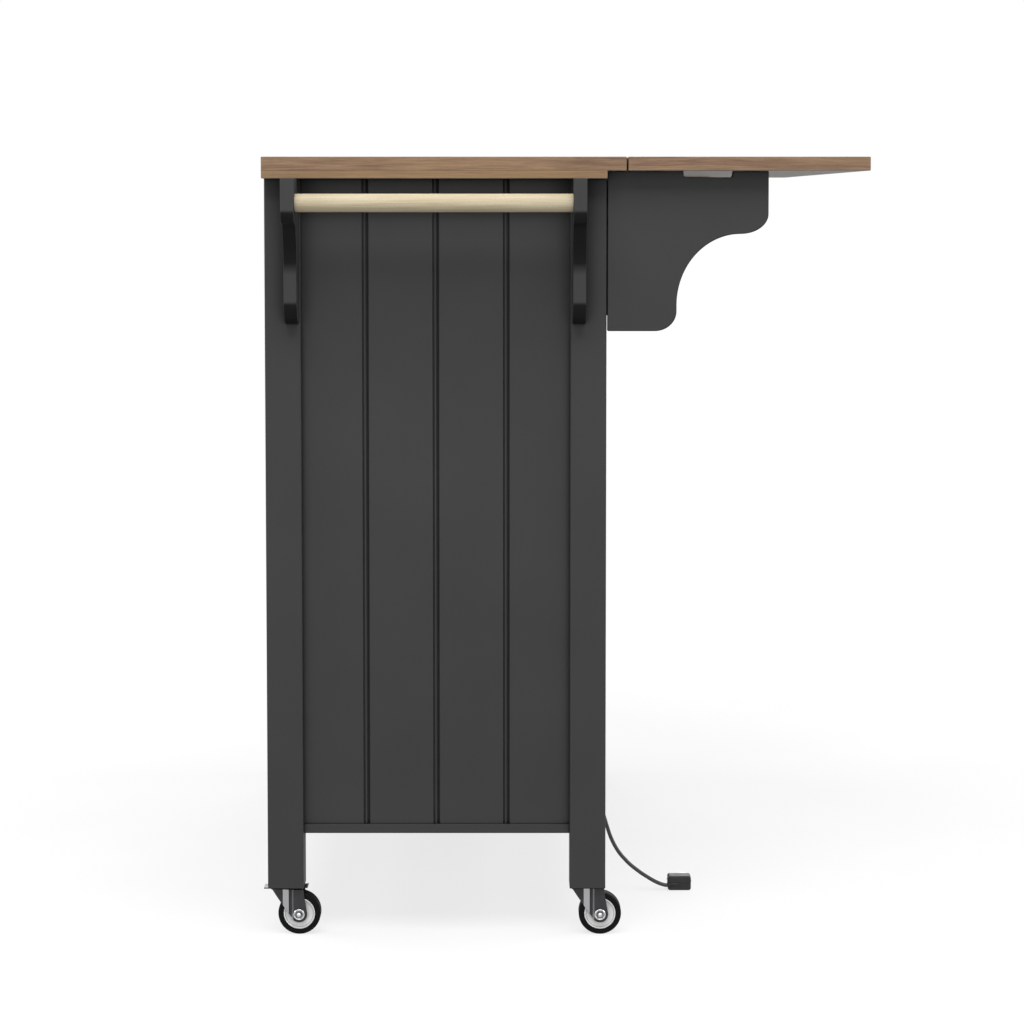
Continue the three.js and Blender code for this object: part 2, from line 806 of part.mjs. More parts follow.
// The fork from above: a round skirt in front, then on each side a rib, a groove and
// the cheek, pressed from one sheet.
function forkPlan(noseReach, noseHalf, steps) {
  const far = casterTrail + wheelRadius;
  const shape = new THREE.Shape();
  shape.moveTo(-steps[steps.length - 1][0], far);
  for (const [x, y] of steps.slice().reverse()) shape.lineTo(-x, y);
  shape.absellipse(
    0, -ribFrontReach, noseHalf, noseReach - ribFrontReach, Math.PI, 2 * Math.PI, false,
  );
  for (const [x, y] of steps) shape.lineTo(x, y);
  shape.lineTo(steps[steps.length - 1][0], far);
  shape.closePath();
  return shape;
}

function casterFork(braked) {
  const top = braked ? forkTop - leverRoom : forkTop;
  const outside = forkPlan(forkFrontReach, forkNoseHalf, [
    [forkHalf - ribInset, ribBackReach],
    [forkHalf - grooveInset, ribBackReach + clearance],
    [forkHalf - grooveInset, grooveBackReach],
    [forkHalf, cheekReach],
  ]);
  const inside = forkPlan(forkFrontReach - forkSheet, forkNoseHalf - forkSheet, [
    [forkWheelHalf, -ribFrontReach],
    [forkWheelHalf, cheekReach],
    [forkInnerWidth / 2, cheekReach + forkSheet],
  ]);
  const sheet = meet(
    prism('x', forkSide(top), -forkHalf, forkHalf, 5),
    prism('z', outside, 0, forkTop, 5),
  );
  const inner = forkInnerWidth / 2;
  const wheelRoomRadius = wheelRadius + wheelTopGap;
  const shell = cut(
    sheet,
    prism('z', inside, 0, top - forkSheet, 5),
    block([-inner, inner], [forkRoofReach, 2 * wheelRadius], [0, forkTop + cutMargin]),
    rodAlongX(wheelRoomRadius, -forkWheelHalf, forkWheelHalf, casterTrail, wheelRadius, wheelSegments),
    rodAlongX(
      axleRadius + clearance, -forkHalf - cutMargin, forkHalf + cutMargin,
      casterTrail, wheelRadius, 12,
    ),
  );
  return join(shell, rodAlongZ(stemRadius, top - forkSheet / 2, legBottom + stemLength, 0, 0));
}

function casterHub() {
  const [rim, web] = [wheelWidth / 2, hubWebWidth / 2];
  const bore = axleRadius + clearance;
  const rimInner = hubRadius - hubRimThickness;
  return turnedAlongX([
    [bore, -rim], [hubBossRadius, -rim], [hubBossRadius, -web], [rimInner, -web], [rimInner, -rim],
    [hubRadius, -rim], [hubRadius, rim],
    [rimInner, rim], [rimInner, web], [hubBossRadius, web], [hubBossRadius, rim], [bore, rim],
    [bore, -rim],
  ], casterTrail, wheelRadius, hubSegments);
}

// The tyre's flats, not its corners, lie on the wheel's radius, so that it stands level.
function casterTyre() {
  const half = wheelWidth / 2;
  const inner = hubRadius + clearance;
  const tread = wheelRadius / Math.cos(Math.PI / wheelSegments);
  return turnedAlongX([
    [inner, -half], [tread - tyreShoulder, -half], [tread, -half + tyreShoulder],
    [tread, half - tyreShoulder], [tread - tyreShoulder, half], [inner, half], [inner, -half],
  ], casterTrail, wheelRadius, wheelSegments);
}

function casterAxle() {
  const head = forkHalf + clearance;
  const end = head + axleHeadHeight;
  const edge = end - axleHeadChamfer;
  return turnedAlongX([
    [0, -end], [axleCrownRadius, -end], [axleHeadRadius, -edge], [axleHeadRadius, -head],
    [axleRadius, -head], [axleRadius, head],
    [axleHeadRadius, head], [axleHeadRadius, edge], [axleCrownRadius, end], [0, end],
  ], casterTrail, wheelRadius, 12);
}

// A strip with a hole for the stem, a toe bent up at its back end and a shoe over the
// tyre. Pressing the toe rocks it on the fork's roof and lowers the shoe.
function brakeLever() {
  const strip = prism('x', outline([
    [-leverFrontReach, leverBottom],
    [leverBendReach, leverBottom],
    [leverBackReach, leverBottom + leverToeRise],
    [leverBackReach, leverTop + leverToeRise],
    [leverBendReach, leverTop],
    [-leverFrontReach, leverTop],
  ]), -leverWidth / 2, leverWidth / 2);
  const shoe = block(
    [-brakeShoeWidth / 2, brakeShoeWidth / 2],
    [casterTrail - brakeShoeLength / 2, casterTrail + brakeShoeLength / 2],
    [2 * wheelRadius + brakeShoeGap, leverBottom + leverSheet / 2],
  );
  const stemHole = rodAlongZ(
    stemRadius + leverStemEase, leverBottom - cutMargin, leverTop + cutMargin, 0, 0,
  );
  return cut(join(strip, shoe), stemHole);
}

// ---------------------------------------------------------------- outlet, cord and plug

// The cord leaves the gland in this direction, down and a little away from the panel.
const reliefTop = new THREE.Vector2(backPanelOuter + reliefInset, glandBottom + reliefSink);
const cordRoute = [
  [399.8, 103.4], [401.6, 96.0], [403.7, 88.9], [406.4, 80.0], [409.9, 69.5], [413.6, 61.0],
  [417.8, 53.4], [422.9, 46.0], [428.7, 39.4], [435.1, 33.0], [442.2, 27.2], [448.9, 22.2],
  [455.8, 17.7], [463.0, 13.3], [469.6, 9.9], [475.2, 7.8], [479.4, 6.8], [482.0, 6.6],
];

// A plate with two sockets side by side, each with two upright slots over a third one.
function outletPlate() {
  const plate = prism('y', roundedRectangle(
    [cordX - outletWidth / 2, cordX + outletWidth / 2],
    [outletMiddle - outletHeight / 2, outletMiddle + outletHeight / 2],
    outletCornerRadius,
  ), backPanelOuter, backPanelOuter + outletThickness, 4);
  const slot = (middleX, middleZ, width, height) => block(
    [middleX - width / 2, middleX + width / 2],
    [backPanelOuter + cutMargin, backPanelOuter + outletThickness + cutMargin],
    [middleZ - height / 2, middleZ + height / 2],
  );
  const slots = [];
  for (const side of [-1, 1]) {
    const middle = cordX + side * outletWidth / 4;
    for (const blade of [-1, 1]) {
      const x = middle + blade * bladeSpread / 2;
      slots.push(slot(x, outletMiddle + slotRise, slotWidth, slotHeight));
    }
    slots.push(slot(middle, outletMiddle - groundSlotDrop, groundSlotWidth, groundSlotHeight));
  }
  return cut(plate, ...slots);
}

function cordGland() {
  const housing = block(
    [cordX - glandWidth / 2, cordX + glandWidth / 2],
    [backPanelOuter, backPanelOuter + glandDepth],
    [glandBottom, glandBottom + glandHeight],
  );
  const end = new THREE.Vector2(...cordRoute[0]);
  const run = end.clone().sub(reliefTop);
  const length = run.length() - clearance;
  const relief = new THREE.CylinderGeometry(reliefTopRadius, reliefEndRadius, length, 16);
  const down = new THREE.Vector3(0, run.x, run.y).normalize();
  relief.applyQuaternion(new THREE.Quaternion().setFromUnitVectors(minusY, down));
  const middle = new THREE.Vector3(cordX, reliefTop.x, reliefTop.y);
  middle.addScaledVector(down, length / 2);
  relief.translate(middle.x, middle.y, middle.z);
  return join(housing, relief);
}

function powerCord() {
  const section = new THREE.Shape();
  section.absarc(0, 0, cordRadius, 0, 2 * Math.PI);
  const points = cordRoute.map(([y, z]) => new THREE.Vector3(cordX, y, z));
  const extrudePath = new THREE.CatmullRomCurve3(points);
  return new THREE.ExtrudeGeometry(section, { steps: 14, curveSegments: 5, extrudePath });
}

// The plug lies on the floor on its side. Its blades point away from the towel bar end,
// one above the other, and the cord's side holds the ground pin.
function powerPlug() {
  const [lastY, lastZ] = cordRoute[cordRoute.length - 1];
  const y0 = lastY + clearance;
  const y1 = y0 + plugLength;
  const [near, far] = [cordX + plugFaceReach, cordX + plugFaceReach - plugWidth];
  const body = prism(
    'x', roundedRectangle([y0, y1], [plugBottom, plugBottom + plugHeight], plugEdgeRadius),
    far, near, 4,
  );
  const wedge = new THREE.CylinderGeometry(wedgeTipRadius, wedgeRadius, wedgeLength, 12);
  wedge.applyMatrix4(new THREE.Matrix4().makeShear(0, 0, 0, wedgeRise / wedgeLength, 0, 0));
  wedge.translate(cordX, y0 + wedgeLength / 2, lastZ + wedgeRise / 2);

  const middleZ = plugBottom + plugHeight / 2;
  const bladeY = y1 - bladeInset;
  const blades = [-1, 1].map((side) => {
    const z = middleZ + side * bladeSpread / 2;
    return block(
      [far - bladeLength, far + cutMargin],
      [bladeY - bladeBreadth / 2, bladeY + bladeBreadth / 2],
      [z - bladeThickness / 2, z + bladeThickness / 2],
    );
  });
  const pinY = bladeY - groundPinOffset;
  const pin = rodAlongX(
    groundPinRadius, far - groundPinLength, far + cutMargin, pinY, middleZ, 12,
  );
  return join(body, wedge, ...blades, pin);
}

// ---------------------------------------------------------------- putting it together

add('main_top', mainTop(), oak);
add('drop_leaf', dropLeaf(), oak);

for (const [end, sign] of ends) {
  for (const [side, middleY] of sides) {
    add(`leg_${side}_${end}`, forEnd(leg(middleY), sign), paint);
  }
  add(`end_panel_${end}`, forEnd(endPanel(), sign), paint);
  add(`end_rail_${end}`, forEnd(endRail(), sign), paint);
}
add('front_rail', frontRail(), paint);
add('back_panel', backPanel(), paint);
add('cabinet_floor', cabinetFloor(), paint);
add('drawer_deck', deck(), paint);
add('partition', divider(floorTop, deckHeight), paint);
add('drawer_divider', divider(deckTop, topUnderside), paint);

for (const [end, sign] of ends) {
  add(`shelf_${end}`, forEnd(shelf(), sign), paint);
  add(`door_rod_${end}`, forEnd(doorRod(), sign), zincSteel);
  add(`door_${end}`, forEnd(door(), sign), paint);
  add(`drawer_front_${end}`, forEnd(drawerFront(), sign), paint);
  add(`drawer_box_${end}`, forEnd(drawerBox(), sign), birch);
  add(`leaf_wing_${end}`, forEnd(wing(), sign), paint);
  add(`wing_hinge_plate_${end}`, forEnd(wingHinge(true), sign), zincSteel);
  add(`wing_hinge_flap_${end}`, forEnd(wingHinge(false), sign), zincSteel);
}
add('leaf_hinge_plate', leafHinge(true), zincSteel);
add('leaf_hinge_flap', leafHinge(false), zincSteel);

add('towel_bracket_front', bracket(bracketFrontY), paint);
add('towel_bracket_back', bracket(bracketBackY), paint);
add('towel_bar', towelBar(), paleWood);

for (const [end, sign] of ends) {
  for (const [side, middleY] of sides) {
    const caster = new THREE.Group();
    caster.position.set(sign * legMiddle, middleY, 0);
    island.add(caster);
    const braked = side === 'front';
    add(`caster_fork_${side}_${end}`, casterFork(braked), blackSteel, caster);
    add(`caster_hub_${side}_${end}`, casterHub(), hubNylon, caster);
    add(`caster_tyre_${side}_${end}`, casterTyre(), tyreRubber, caster);
    add(`caster_axle_${side}_${end}`, casterAxle(), zincSteel, caster);
    if (braked) add(`brake_lever_${end}`, brakeLever(), blackSteel, caster);
  }
}

add('outlet_plate', outletPlate(), blackPlastic);
add('cord_gland', cordGland(), blackPlastic);
add('power_cord', powerCord(), blackPlastic);
add('power_plug', powerPlug(), blackPlastic);

export default island;
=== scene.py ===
# %% [markdown]
# # Drop leaf kitchen island
# A narrow painted island on four casters, with a wooden counter and a leaf at the back that
# rests on two folding wings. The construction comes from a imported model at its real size.
# This script gives it its looks: fine surfaces, small hardware, the cord, the materials, the
# light and the camera. The end with the towel bar faces +X, the doors face -Y, the leaf is
# on the +Y side and the floor is at z = 0.

# %% Load the fixed frame
import json
import math

import bmesh
import bpy
from mathutils import Matrix, Vector


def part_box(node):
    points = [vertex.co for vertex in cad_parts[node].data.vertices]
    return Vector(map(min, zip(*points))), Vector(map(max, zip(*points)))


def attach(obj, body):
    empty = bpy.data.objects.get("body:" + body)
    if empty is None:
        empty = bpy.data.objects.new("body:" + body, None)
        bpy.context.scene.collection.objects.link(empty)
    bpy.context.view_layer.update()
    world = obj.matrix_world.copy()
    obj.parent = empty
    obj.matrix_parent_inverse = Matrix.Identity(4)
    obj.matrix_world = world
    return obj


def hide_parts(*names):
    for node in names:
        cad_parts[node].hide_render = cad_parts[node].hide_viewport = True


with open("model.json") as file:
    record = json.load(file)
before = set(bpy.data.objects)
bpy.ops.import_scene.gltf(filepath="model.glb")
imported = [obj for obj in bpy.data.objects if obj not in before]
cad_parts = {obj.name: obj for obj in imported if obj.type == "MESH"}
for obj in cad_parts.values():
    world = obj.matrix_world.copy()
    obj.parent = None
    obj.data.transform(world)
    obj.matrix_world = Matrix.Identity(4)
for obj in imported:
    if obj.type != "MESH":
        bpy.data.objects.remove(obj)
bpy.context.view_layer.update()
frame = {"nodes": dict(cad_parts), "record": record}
scene = bpy.context.scene

# %% [markdown]
# Woodwork is measured in millimetres and Blender works in metres, so sizes are written in
# millimetres and multiplied by MM where a mesh is made. The places come from the packed
# pieces themselves: `span` gives a piece's lowest and highest corner in millimetres.

# %% Units and places
MM = 0.001


def span(name):
    low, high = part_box(name)
    return low / MM, high / MM


legs_end = span("leg_front_right")[1].x
counter_top = span("main_top")[1].z
print("legs end at x =", round(legs_end, 1), "and the counter is", round(counter_top, 1), "high")

# %% [markdown]
# The photograph was taken square on to the end, from a little under counter height, with a
# long lens, so upright edges are parallel. A level camera with a large vertical shift would
# give exactly that. A small shift with a camera tipped down by four degrees looks almost
# the same, and leaves the whole object in view from every other side too.

# %% Camera
photo_width = 1024  # pixels
focal_length = 2935  # pixels, worked out from the perspective of the leaf and the casters
sensor_width = 36
camera_distance = 3400  # in front of the near legs
camera_side = -59.7
camera_height = 864.3
camera_tilt = 4.084  # degrees below level
frame_shift = 0.1  # share of the picture's width

camera_data = bpy.data.cameras.new("camera")
camera_data.sensor_width = sensor_width
camera_data.lens = focal_length / photo_width * sensor_width
camera_data.shift_y = -frame_shift
camera = bpy.data.objects.new("camera", camera_data)
camera.location = Vector((legs_end + camera_distance, camera_side, camera_height)) * MM
camera.rotation_euler = (math.radians(90 - camera_tilt), 0, math.radians(90))
scene.collection.objects.link(camera)
scene.camera = camera
scene.view_settings.view_transform = "Standard"
print("lens:", round(camera_data.lens, 1), "mm")

# %% [markdown]
# The supply cord for the outlet is a round three-core lead, 4.8 mm thick. The photograph
# shows it from the foot of the back panel to its plug, only 0.135 m later, in one stiff
# sagging bow. A curve object suits it: the curve's own line is the cord's centre, its round
# section is a single setting, and automatic handles pass smoothly through every point.

# %% Cord
cord_radius = 2.4
cord_middle = sum(corner.x for corner in span("power_cord")) / 2 * MM
cord_route = [  # y and z in metres, from the gland to the plug
    (0.0533, 0.1034), (0.0551, 0.0960), (0.0572, 0.0889), (0.0599, 0.0800),
    (0.0634, 0.0695), (0.0671, 0.0610), (0.0713, 0.0534), (0.0764, 0.0460),
    (0.0822, 0.0394), (0.0886, 0.0330), (0.0957, 0.0272), (0.1024, 0.0222),
    (0.1093, 0.0177), (0.1165, 0.0133), (0.1231, 0.0099), (0.1287, 0.0078),
    (0.1329, 0.0068), (0.1355, 0.0066),
]

cord_curve = bpy.data.curves.new("power_cord_sheath", "CURVE")
cord_curve.dimensions = "3D"
cord_curve.bevel_depth = cord_radius * MM
cord_curve.bevel_resolution = 7
cord_curve.resolution_u = 6
cord_curve.use_fill_caps = True
spline = cord_curve.splines.new("BEZIER")
spline.bezier_points.add(len(cord_route) - 1)
for point, (y, z) in zip(spline.bezier_points, cord_route):
    point.co = (cord_middle, y, z)
    point.handle_left_type = point.handle_right_type = "AUTO"
power_cord = bpy.data.objects.new("power_cord_sheath", cord_curve)
scene.collection.objects.link(power_cord)
print("cord points:", len(cord_route), "spline length:", round(spline.calc_length(), 4))

# %% [markdown]
# Every finish below is a small graph of shader nodes. `add` puts one node into a graph with
# its settings and its links, which come from a socket or from a node's first output that is
# in use. A name that is also a property of the node is set there, and any other name or
# number on that input. `linear` turns a designer's colour into the values that light obeys.

# %% Shader helpers
def linear(code):
    shares = [int(code[i:i + 2], 16) / 255 for i in (1, 3, 5)]
    return [s / 12.92 if s <= 0.04045 else ((s + 0.055) / 1.055) ** 2.4 for s in shares] + [1]


def add(tree, kind, values):
    node = tree.nodes.new("ShaderNode" + kind)
    for name, value in values.items():
        if isinstance(value, bpy.types.Node):
            value = next(output for output in value.outputs if output.enabled)
        if isinstance(name, str) and hasattr(node, name):
            setattr(node, name, value)
        elif isinstance(value, bpy.types.NodeSocket):
            tree.links.new(value, node.inputs[name])
        else:
            node.inputs[name].default_value = linear(value) if isinstance(value, str) else value
    return node


def new_material(name):
    """An empty graph, and the node that gives each point's place and normal."""
    material = bpy.data.materials.new(name)
    material.use_nodes = True
    tree = material.node_tree
    tree.nodes.clear()
    return material, tree, add(tree, "TexCoord", {})


print("pure mid grey is", round(linear("#808080")[0], 3), "in linear light")

# %% [markdown]
# Three parts recur in the graphs. `pattern` is noise whose features have a size in
# millimetres. `vary` gives a number or a colour that goes from low to high with a share,
# such as that noise. `by_hollow` does so with ambient occlusion, which is 0 down in a groove
# or corner and 1 on open ground; it paints shade into grooves and corners. Most finishes are
# one stuff whose tint and dullness drift from patch to patch, with a finer grain in the bump:
# `skin` makes those.

# %% Patterns and skins
MIX_SHARE, MIX_LOW, MIX_HIGH = 0, 6, 7  # inputs of a node that mixes two colours
WHOLE = (0, 1)


def pattern(tree, vector, size, detail=2, roughness=0.5, distortion=0):
    along = size if isinstance(size, tuple) else (size, size, size)
    scale = [1 / (length * MM) for length in along]
    scaled = add(tree, "Mapping", {"Scale": scale, "Vector": vector})
    return add(tree, "TexNoise", {"Scale": 1, "Detail": detail, "Roughness": roughness,
                                  "Distortion": distortion, "Vector": scaled})


def vary(tree, share, low, high, limits=(0.3, 0.7), most=1):
    """From low to high between the limits; a colour goes only `most` of the way."""
    values = {"From Min": limits[0], "From Max": limits[1], "Value": share}
    if isinstance(low, (int, float)):
        return add(tree, "MapRange", {**values, "To Min": low, "To Max": high})
    part = add(tree, "MapRange", {**values, "To Max": most})
    return add(tree, "Mix", {"data_type": "RGBA", MIX_SHARE: part, MIX_LOW: low, MIX_HIGH: high})


# Paints shade into grooves and corners, by ambient occlusion.
def by_hollow(tree, reach, limits, low, high):
    nearby = add(tree, "AmbientOcclusion", {"samples": 6, "Distance": reach * MM})
    return vary(tree, nearby.outputs["AO"], low, high, limits)


def finish(tree, values, height, depth):
    """The surface shader, with a bump of that depth in millimetres."""
    bump = add(tree, "Bump", {"Distance": depth * MM, "Height": height})
    shader = add(tree, "BsdfPrincipled", {**values, "Normal": bump})
    add(tree, "OutputMaterial", {"Surface": shader})


def skin(name, values, tints, dullness, patches, depth, grain=None, hollow_shade=None, change=None):
    """Patches and grain are for `pattern`, the painted shade in hollows is for `by_hollow`, and
    a change is a function that gives the shader other values."""
    material, tree, place = new_material(name)
    vector = place.outputs["Object"]
    patch = pattern(tree, vector, *patches)
    colour = vary(tree, patch, *tints)
    if hollow_shade:
        colour = by_hollow(tree, *hollow_shade, colour)
    values = {**values, "Base Color": colour, "Roughness": vary(tree, patch, *dullness)}
    if change:
        values.update(change(tree, place, colour))
    finish(tree, values, pattern(tree, vector, *grain) if grain else patch, depth)
    return material


print("inputs of a colour mix:", MIX_SHARE, MIX_LOW, MIX_HIGH)

# %% [markdown]
# The cord's sheath is soft PVC, pressed out of a round die. It is smooth and a little waxy,
# so it gives a broad soft highlight along its upper side, with very faint lengthwise waves.

# %% Extruded PVC
pvc = skin("extruded_pvc", {"IOR": 1.53, "Specular IOR Level": 0.4}, ("#2a2a2c", "#343436"),
           (0.3, 0.42), patches=(6, 4), depth=0.05, grain=((1.2, 6, 6), 1))
print("made", pvc.name)

# %% [markdown]
# The plug, the gland and the outlet are moulded in tough dark ABS. The mould is etched, so
# the skin has a fine grain about a third of a millimetre across, drawn here at 0.7 mm to
# show, which spreads the highlight.

# %% Moulded plastic
plastic = skin("moulded_abs", {"IOR": 1.53, "Specular IOR Level": 0.15}, ("#363637", "#3e3e3f"),
               (0.42, 0.52), patches=(9, 3), depth=0.03, grain=(0.7, 1))
print("made", plastic.name)

# %% [markdown]
# Bright zinc plate covers the hinges, screws, axle bolts and the plug's blades. Zinc is a
# metal, so it is a pale grey with metallic at 1 and the default IOR. Barrel plating leaves
# it slightly cloudy, in patches of a few millimetres. Sockets and corners get a dark painted
# shade.

# %% Bright zinc plate
# The dark tint in sockets and corners is painted shade.
zinc = skin("bright_zinc_plate", {"Metallic": 1}, ("#bcbec1", "#cccdcf"), (0.2, 0.34),
            patches=(3, 4, 0.6), depth=0.004, grain=(0.4, 1), hollow_shade=(2.5, (0.45, 0.85), "#2b2b2d"))
print("made", zinc.name)

# %% [markdown]
# Most pieces are one of two shapes. A board or a pressed plate is an outline of straight
# runs and arcs, and `prism` gives it a thickness along one axis. Anything round is a profile
# of radius and height that `turned` spins about its own upright axis, and a third number
# gives a ring that many flats, as a hexagon socket has.

# %% Outlines, prisms and turned shapes
AXES = {"x": (1, 2, 0), "y": (0, 2, 1), "z": (0, 1, 2)}


def arc(middle, radii, start, end, steps=10):
    turns = [math.radians(start + (end - start) * i / steps) for i in range(steps + 1)]
    (u, v), (reach, rise) = middle, radii
    return [(u + reach * math.cos(turn), v + rise * math.sin(turn)) for turn in turns]


def rounded_rectangle(low, high, radius, steps=6):
    left, bottom = (edge + radius for edge in low)
    right, top = (edge - radius for edge in high)
    points = []
    for i, middle in enumerate(((right, bottom), (right, top), (left, top), (left, bottom))):
        points += arc(middle, (radius, radius), 90 * i - 90, 90 * i, steps)
    return points


def to_object(name, shape):
    """A Blender object from a bmesh whose numbers are millimetres."""
    bmesh.ops.remove_doubles(shape, verts=shape.verts, dist=0.001)
    bmesh.ops.recalc_face_normals(shape, faces=shape.faces)
    bmesh.ops.scale(shape, vec=(MM, MM, MM), verts=shape.verts)
    mesh = bpy.data.meshes.new(name)
    shape.to_mesh(mesh)
    shape.free()
    mesh.shade_smooth()
    piece = bpy.data.objects.new(name, mesh)
    scene.collection.objects.link(piece)
    return piece


def prism(name, outline, axis, low, high):
    u, v, w = AXES[axis]
    shape = bmesh.new()
    rings = []
    for level in (low, high):
        ring = []
        for point in outline:
            place = [0, 0, 0]
            place[u], place[v], place[w] = point[0], point[1], level
            ring.append(shape.verts.new(place))
        rings.append(ring)
        shape.faces.new(ring)
    for i in range(len(outline)):
        shape.faces.new((rings[0][i - 1], rings[0][i], rings[1][i], rings[1][i - 1]))
    return to_object(name, shape)


def slab(name, low, high, axis, radius, steps=6):
    """A box between two corners, with its edges along one axis rounded."""
    u, v, w = AXES[axis]
    outline = rounded_rectangle((low[u], low[v]), (high[u], high[v]), radius, steps)
    return prism(name, outline, axis, low[w], high[w])


def ring_reach(radius, turn, flats):
    if not flats:
        return radius
    share = 2 * math.pi / flats
    return radius / math.cos(turn % share - share / 2)


def turned(name, profile, steps=48):
    shape = bmesh.new()
    rings = []
    for radius, height, *flats in profile:
        count = steps if radius else 1
        turns = [2 * math.pi * i / steps for i in range(count)]
        reaches = [ring_reach(radius, turn, flats[0] if flats else 0) for turn in turns]
        rings.append([shape.verts.new((r * math.cos(t), r * math.sin(t), height))
                      for r, t in zip(reaches, turns)])
    for lower, upper in zip(rings, rings[1:]):
        for i in range(steps):
            corners = [lower[i - 1 if len(lower) > 1 else 0], lower[i % len(lower)],
                       upper[i % len(upper)], upper[i - 1 if len(upper) > 1 else 0]]
            shape.faces.new(list(dict.fromkeys(corners)))
    return to_object(name, shape)


print("axes of an outline:", AXES)

# %% [markdown]
# No real edge is sharp. A bevel of the size that sanding or a press leaves catches a thin
# line of light, which tells the eye how big a piece is. `ease` adds it as a modifier, and
# weighted normals keep the flats flat beside it. `settle` gives a piece its finish, the
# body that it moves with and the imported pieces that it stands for.

# %% Eased edges and settling a piece
def ease(piece, width, segments=3, angle=32):
    bevel = piece.modifiers.new("eased edges", "BEVEL")
    bevel.width = width * MM
    bevel.segments = segments
    bevel.limit_method = "ANGLE"
    bevel.angle_limit = math.radians(angle)
    bevel.miter_outer = "MITER_ARC"
    normals = piece.modifiers.new("flat faces", "WEIGHTED_NORMAL")
    normals.keep_sharp = True
    return piece


finishes = {"black_plastic": plastic, "zinc_steel": zinc}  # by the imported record's slots


def settle(piece, slot, body, *nodes, material=None):
    piece.data.materials.clear()
    piece.data.materials.append(material or finishes[slot])
    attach(piece, body)
    if nodes:
        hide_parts(*nodes)


def stand(piece, spot, direction):
    """Puts a piece's own upright axis on a line through a spot in millimetres."""
    turn = Vector(direction).to_track_quat("Z", "Y").to_matrix().to_4x4()
    piece.matrix_world = Matrix.Translation(Vector(spot) * MM) @ turn
    return piece


settle(power_cord, "black_plastic", "cabinet", "power_cord", material=pvc)

# %% [markdown]
# The cord leaves through a gland: a small housing on the back panel, and a tapered sleeve
# that lets the cord bend gently where it comes out. Its rings are cut into the turned
# profile, because they really are grooves in the moulding.

# %% Gland and strain relief
relief_radius = (4.3, 3.1)  # at the housing and at the cord's end
relief_sink = 2  # top of the sleeve inside the housing
relief_inset = 4.2  # panel's face to the sleeve's top
relief_rings = 6
relief_ends = 1.4  # plain length at both ends, counted in rings
ring_steps = ((0.35, 0), (0.5, 1), (0.8, 1), (0.95, 0))  # share of a ring, 1 down in its groove
ring_groove = 0.5
sleeve_lap = 1.2  # how far the sleeve's mouth laps the cord
sleeve_mouth = cord_radius + 0.05
gland_height = 22
gland_depth = 9
gland_corner = 3

gland_low, gland_high = span("cord_gland")
panel_back = span("back_panel")[1].y
exit_point = Vector((cord_middle, *cord_route[0]))
gland_bottom = gland_high.z - gland_height
relief_top = Vector((cord_middle / MM, panel_back + relief_inset, gland_bottom + relief_sink))
relief_run = exit_point / MM - relief_top
relief_length = relief_run.length + sleeve_lap

relief_profile = [(0, 0), (relief_radius[0], 0)]
for ring in range(relief_rings):
    for step, groove in ring_steps:
        share = (ring + step + 1) / (relief_rings + relief_ends)
        radius = relief_radius[0] + (relief_radius[1] - relief_radius[0]) * share
        relief_profile.append((radius - groove * ring_groove, relief_length * share))
relief_profile += [(relief_radius[1], relief_length), (sleeve_mouth, relief_length),
                   (sleeve_mouth, relief_length - sleeve_lap), (0, relief_length - sleeve_lap)]
relief = stand(turned("cord_relief", relief_profile, 32), relief_top, relief_run)
settle(ease(relief, 0.15, 2, 25), "black_plastic", "cabinet")

gland = slab("cord_gland_housing", (gland_low.x, panel_back, gland_bottom),
             (gland_high.x, panel_back + gland_depth, gland_high.z), "y", gland_corner)
settle(ease(gland, 1.2), "black_plastic", "cabinet", "cord_gland")
print("relief is", round(relief_length, 1), "mm long")

# %% [markdown]
# The plug lies on its side on the floor. It is moulded round its blades in one piece, so
# every edge is rounded, a seam runs round it where the mould's halves met, and the cord
# runs into it through a wedge. The blades and the ground pin are plated, and come out on
# the far side, where the photograph hardly shows them.

# %% Plug
plug_size = Vector((20, 29, 18))  # without blades
plug_corner = 3
plug_face_reach = 2  # cord's middle to the near face
seam_share = 0.62  # of the plug's height, where the mould's halves met
seam_proud = 0.5  # out of the plug, and to each side of its own middle
plug_gap = 0.3  # end of the cord to the moulding
wedge_length = 14
wedge_radii = (3.6, 2.4)
wedge_rise = 2
wedge_crown = 0.6  # how far its two ends stand out
wedge_rings = (0, 0.12, 0.24, 0.36, 0.48)  # shares of its length
wedge_steps = ((0, 0), (0.06, 0), (0.07, 0.35), (0.11, 0.35))  # share, and depth of the groove
blade_size = Vector((16, 6.5, 1.6))
blade_root = 1  # inside the plug
blade_corner = 1.5
blade_spread = 12.8
blade_inset = 9
blade_drop = 1.2  # middle of the plug down to the middle of the blades
pin_offset = 11.9
pin_length = 20
pin_radius = 2.3

plug_low = Vector((cord_middle / MM + plug_face_reach - plug_size.x,
                   cord_route[-1][0] / MM + plug_gap, span("power_plug")[0].z))
plug_high = plug_low + plug_size
plug_middle = plug_low.z + plug_size.z / 2

plug_body = slab("plug_body", plug_low, plug_high, "x", plug_corner, 8)
settle(ease(plug_body, 1.8, 6, 50), "black_plastic", "cabinet", "power_plug")

lip = Vector((seam_proud, seam_proud, seam_proud))
seam_height = plug_low.z + plug_size.z * seam_share
seam = slab("plug_seam", Vector((plug_low.x, plug_low.y, seam_height)) - lip,
            Vector((plug_high.x, plug_high.y, seam_height)) + lip, "z", plug_corner, 8)
settle(ease(seam, 0.3, 3, 50), "black_plastic", "cabinet")

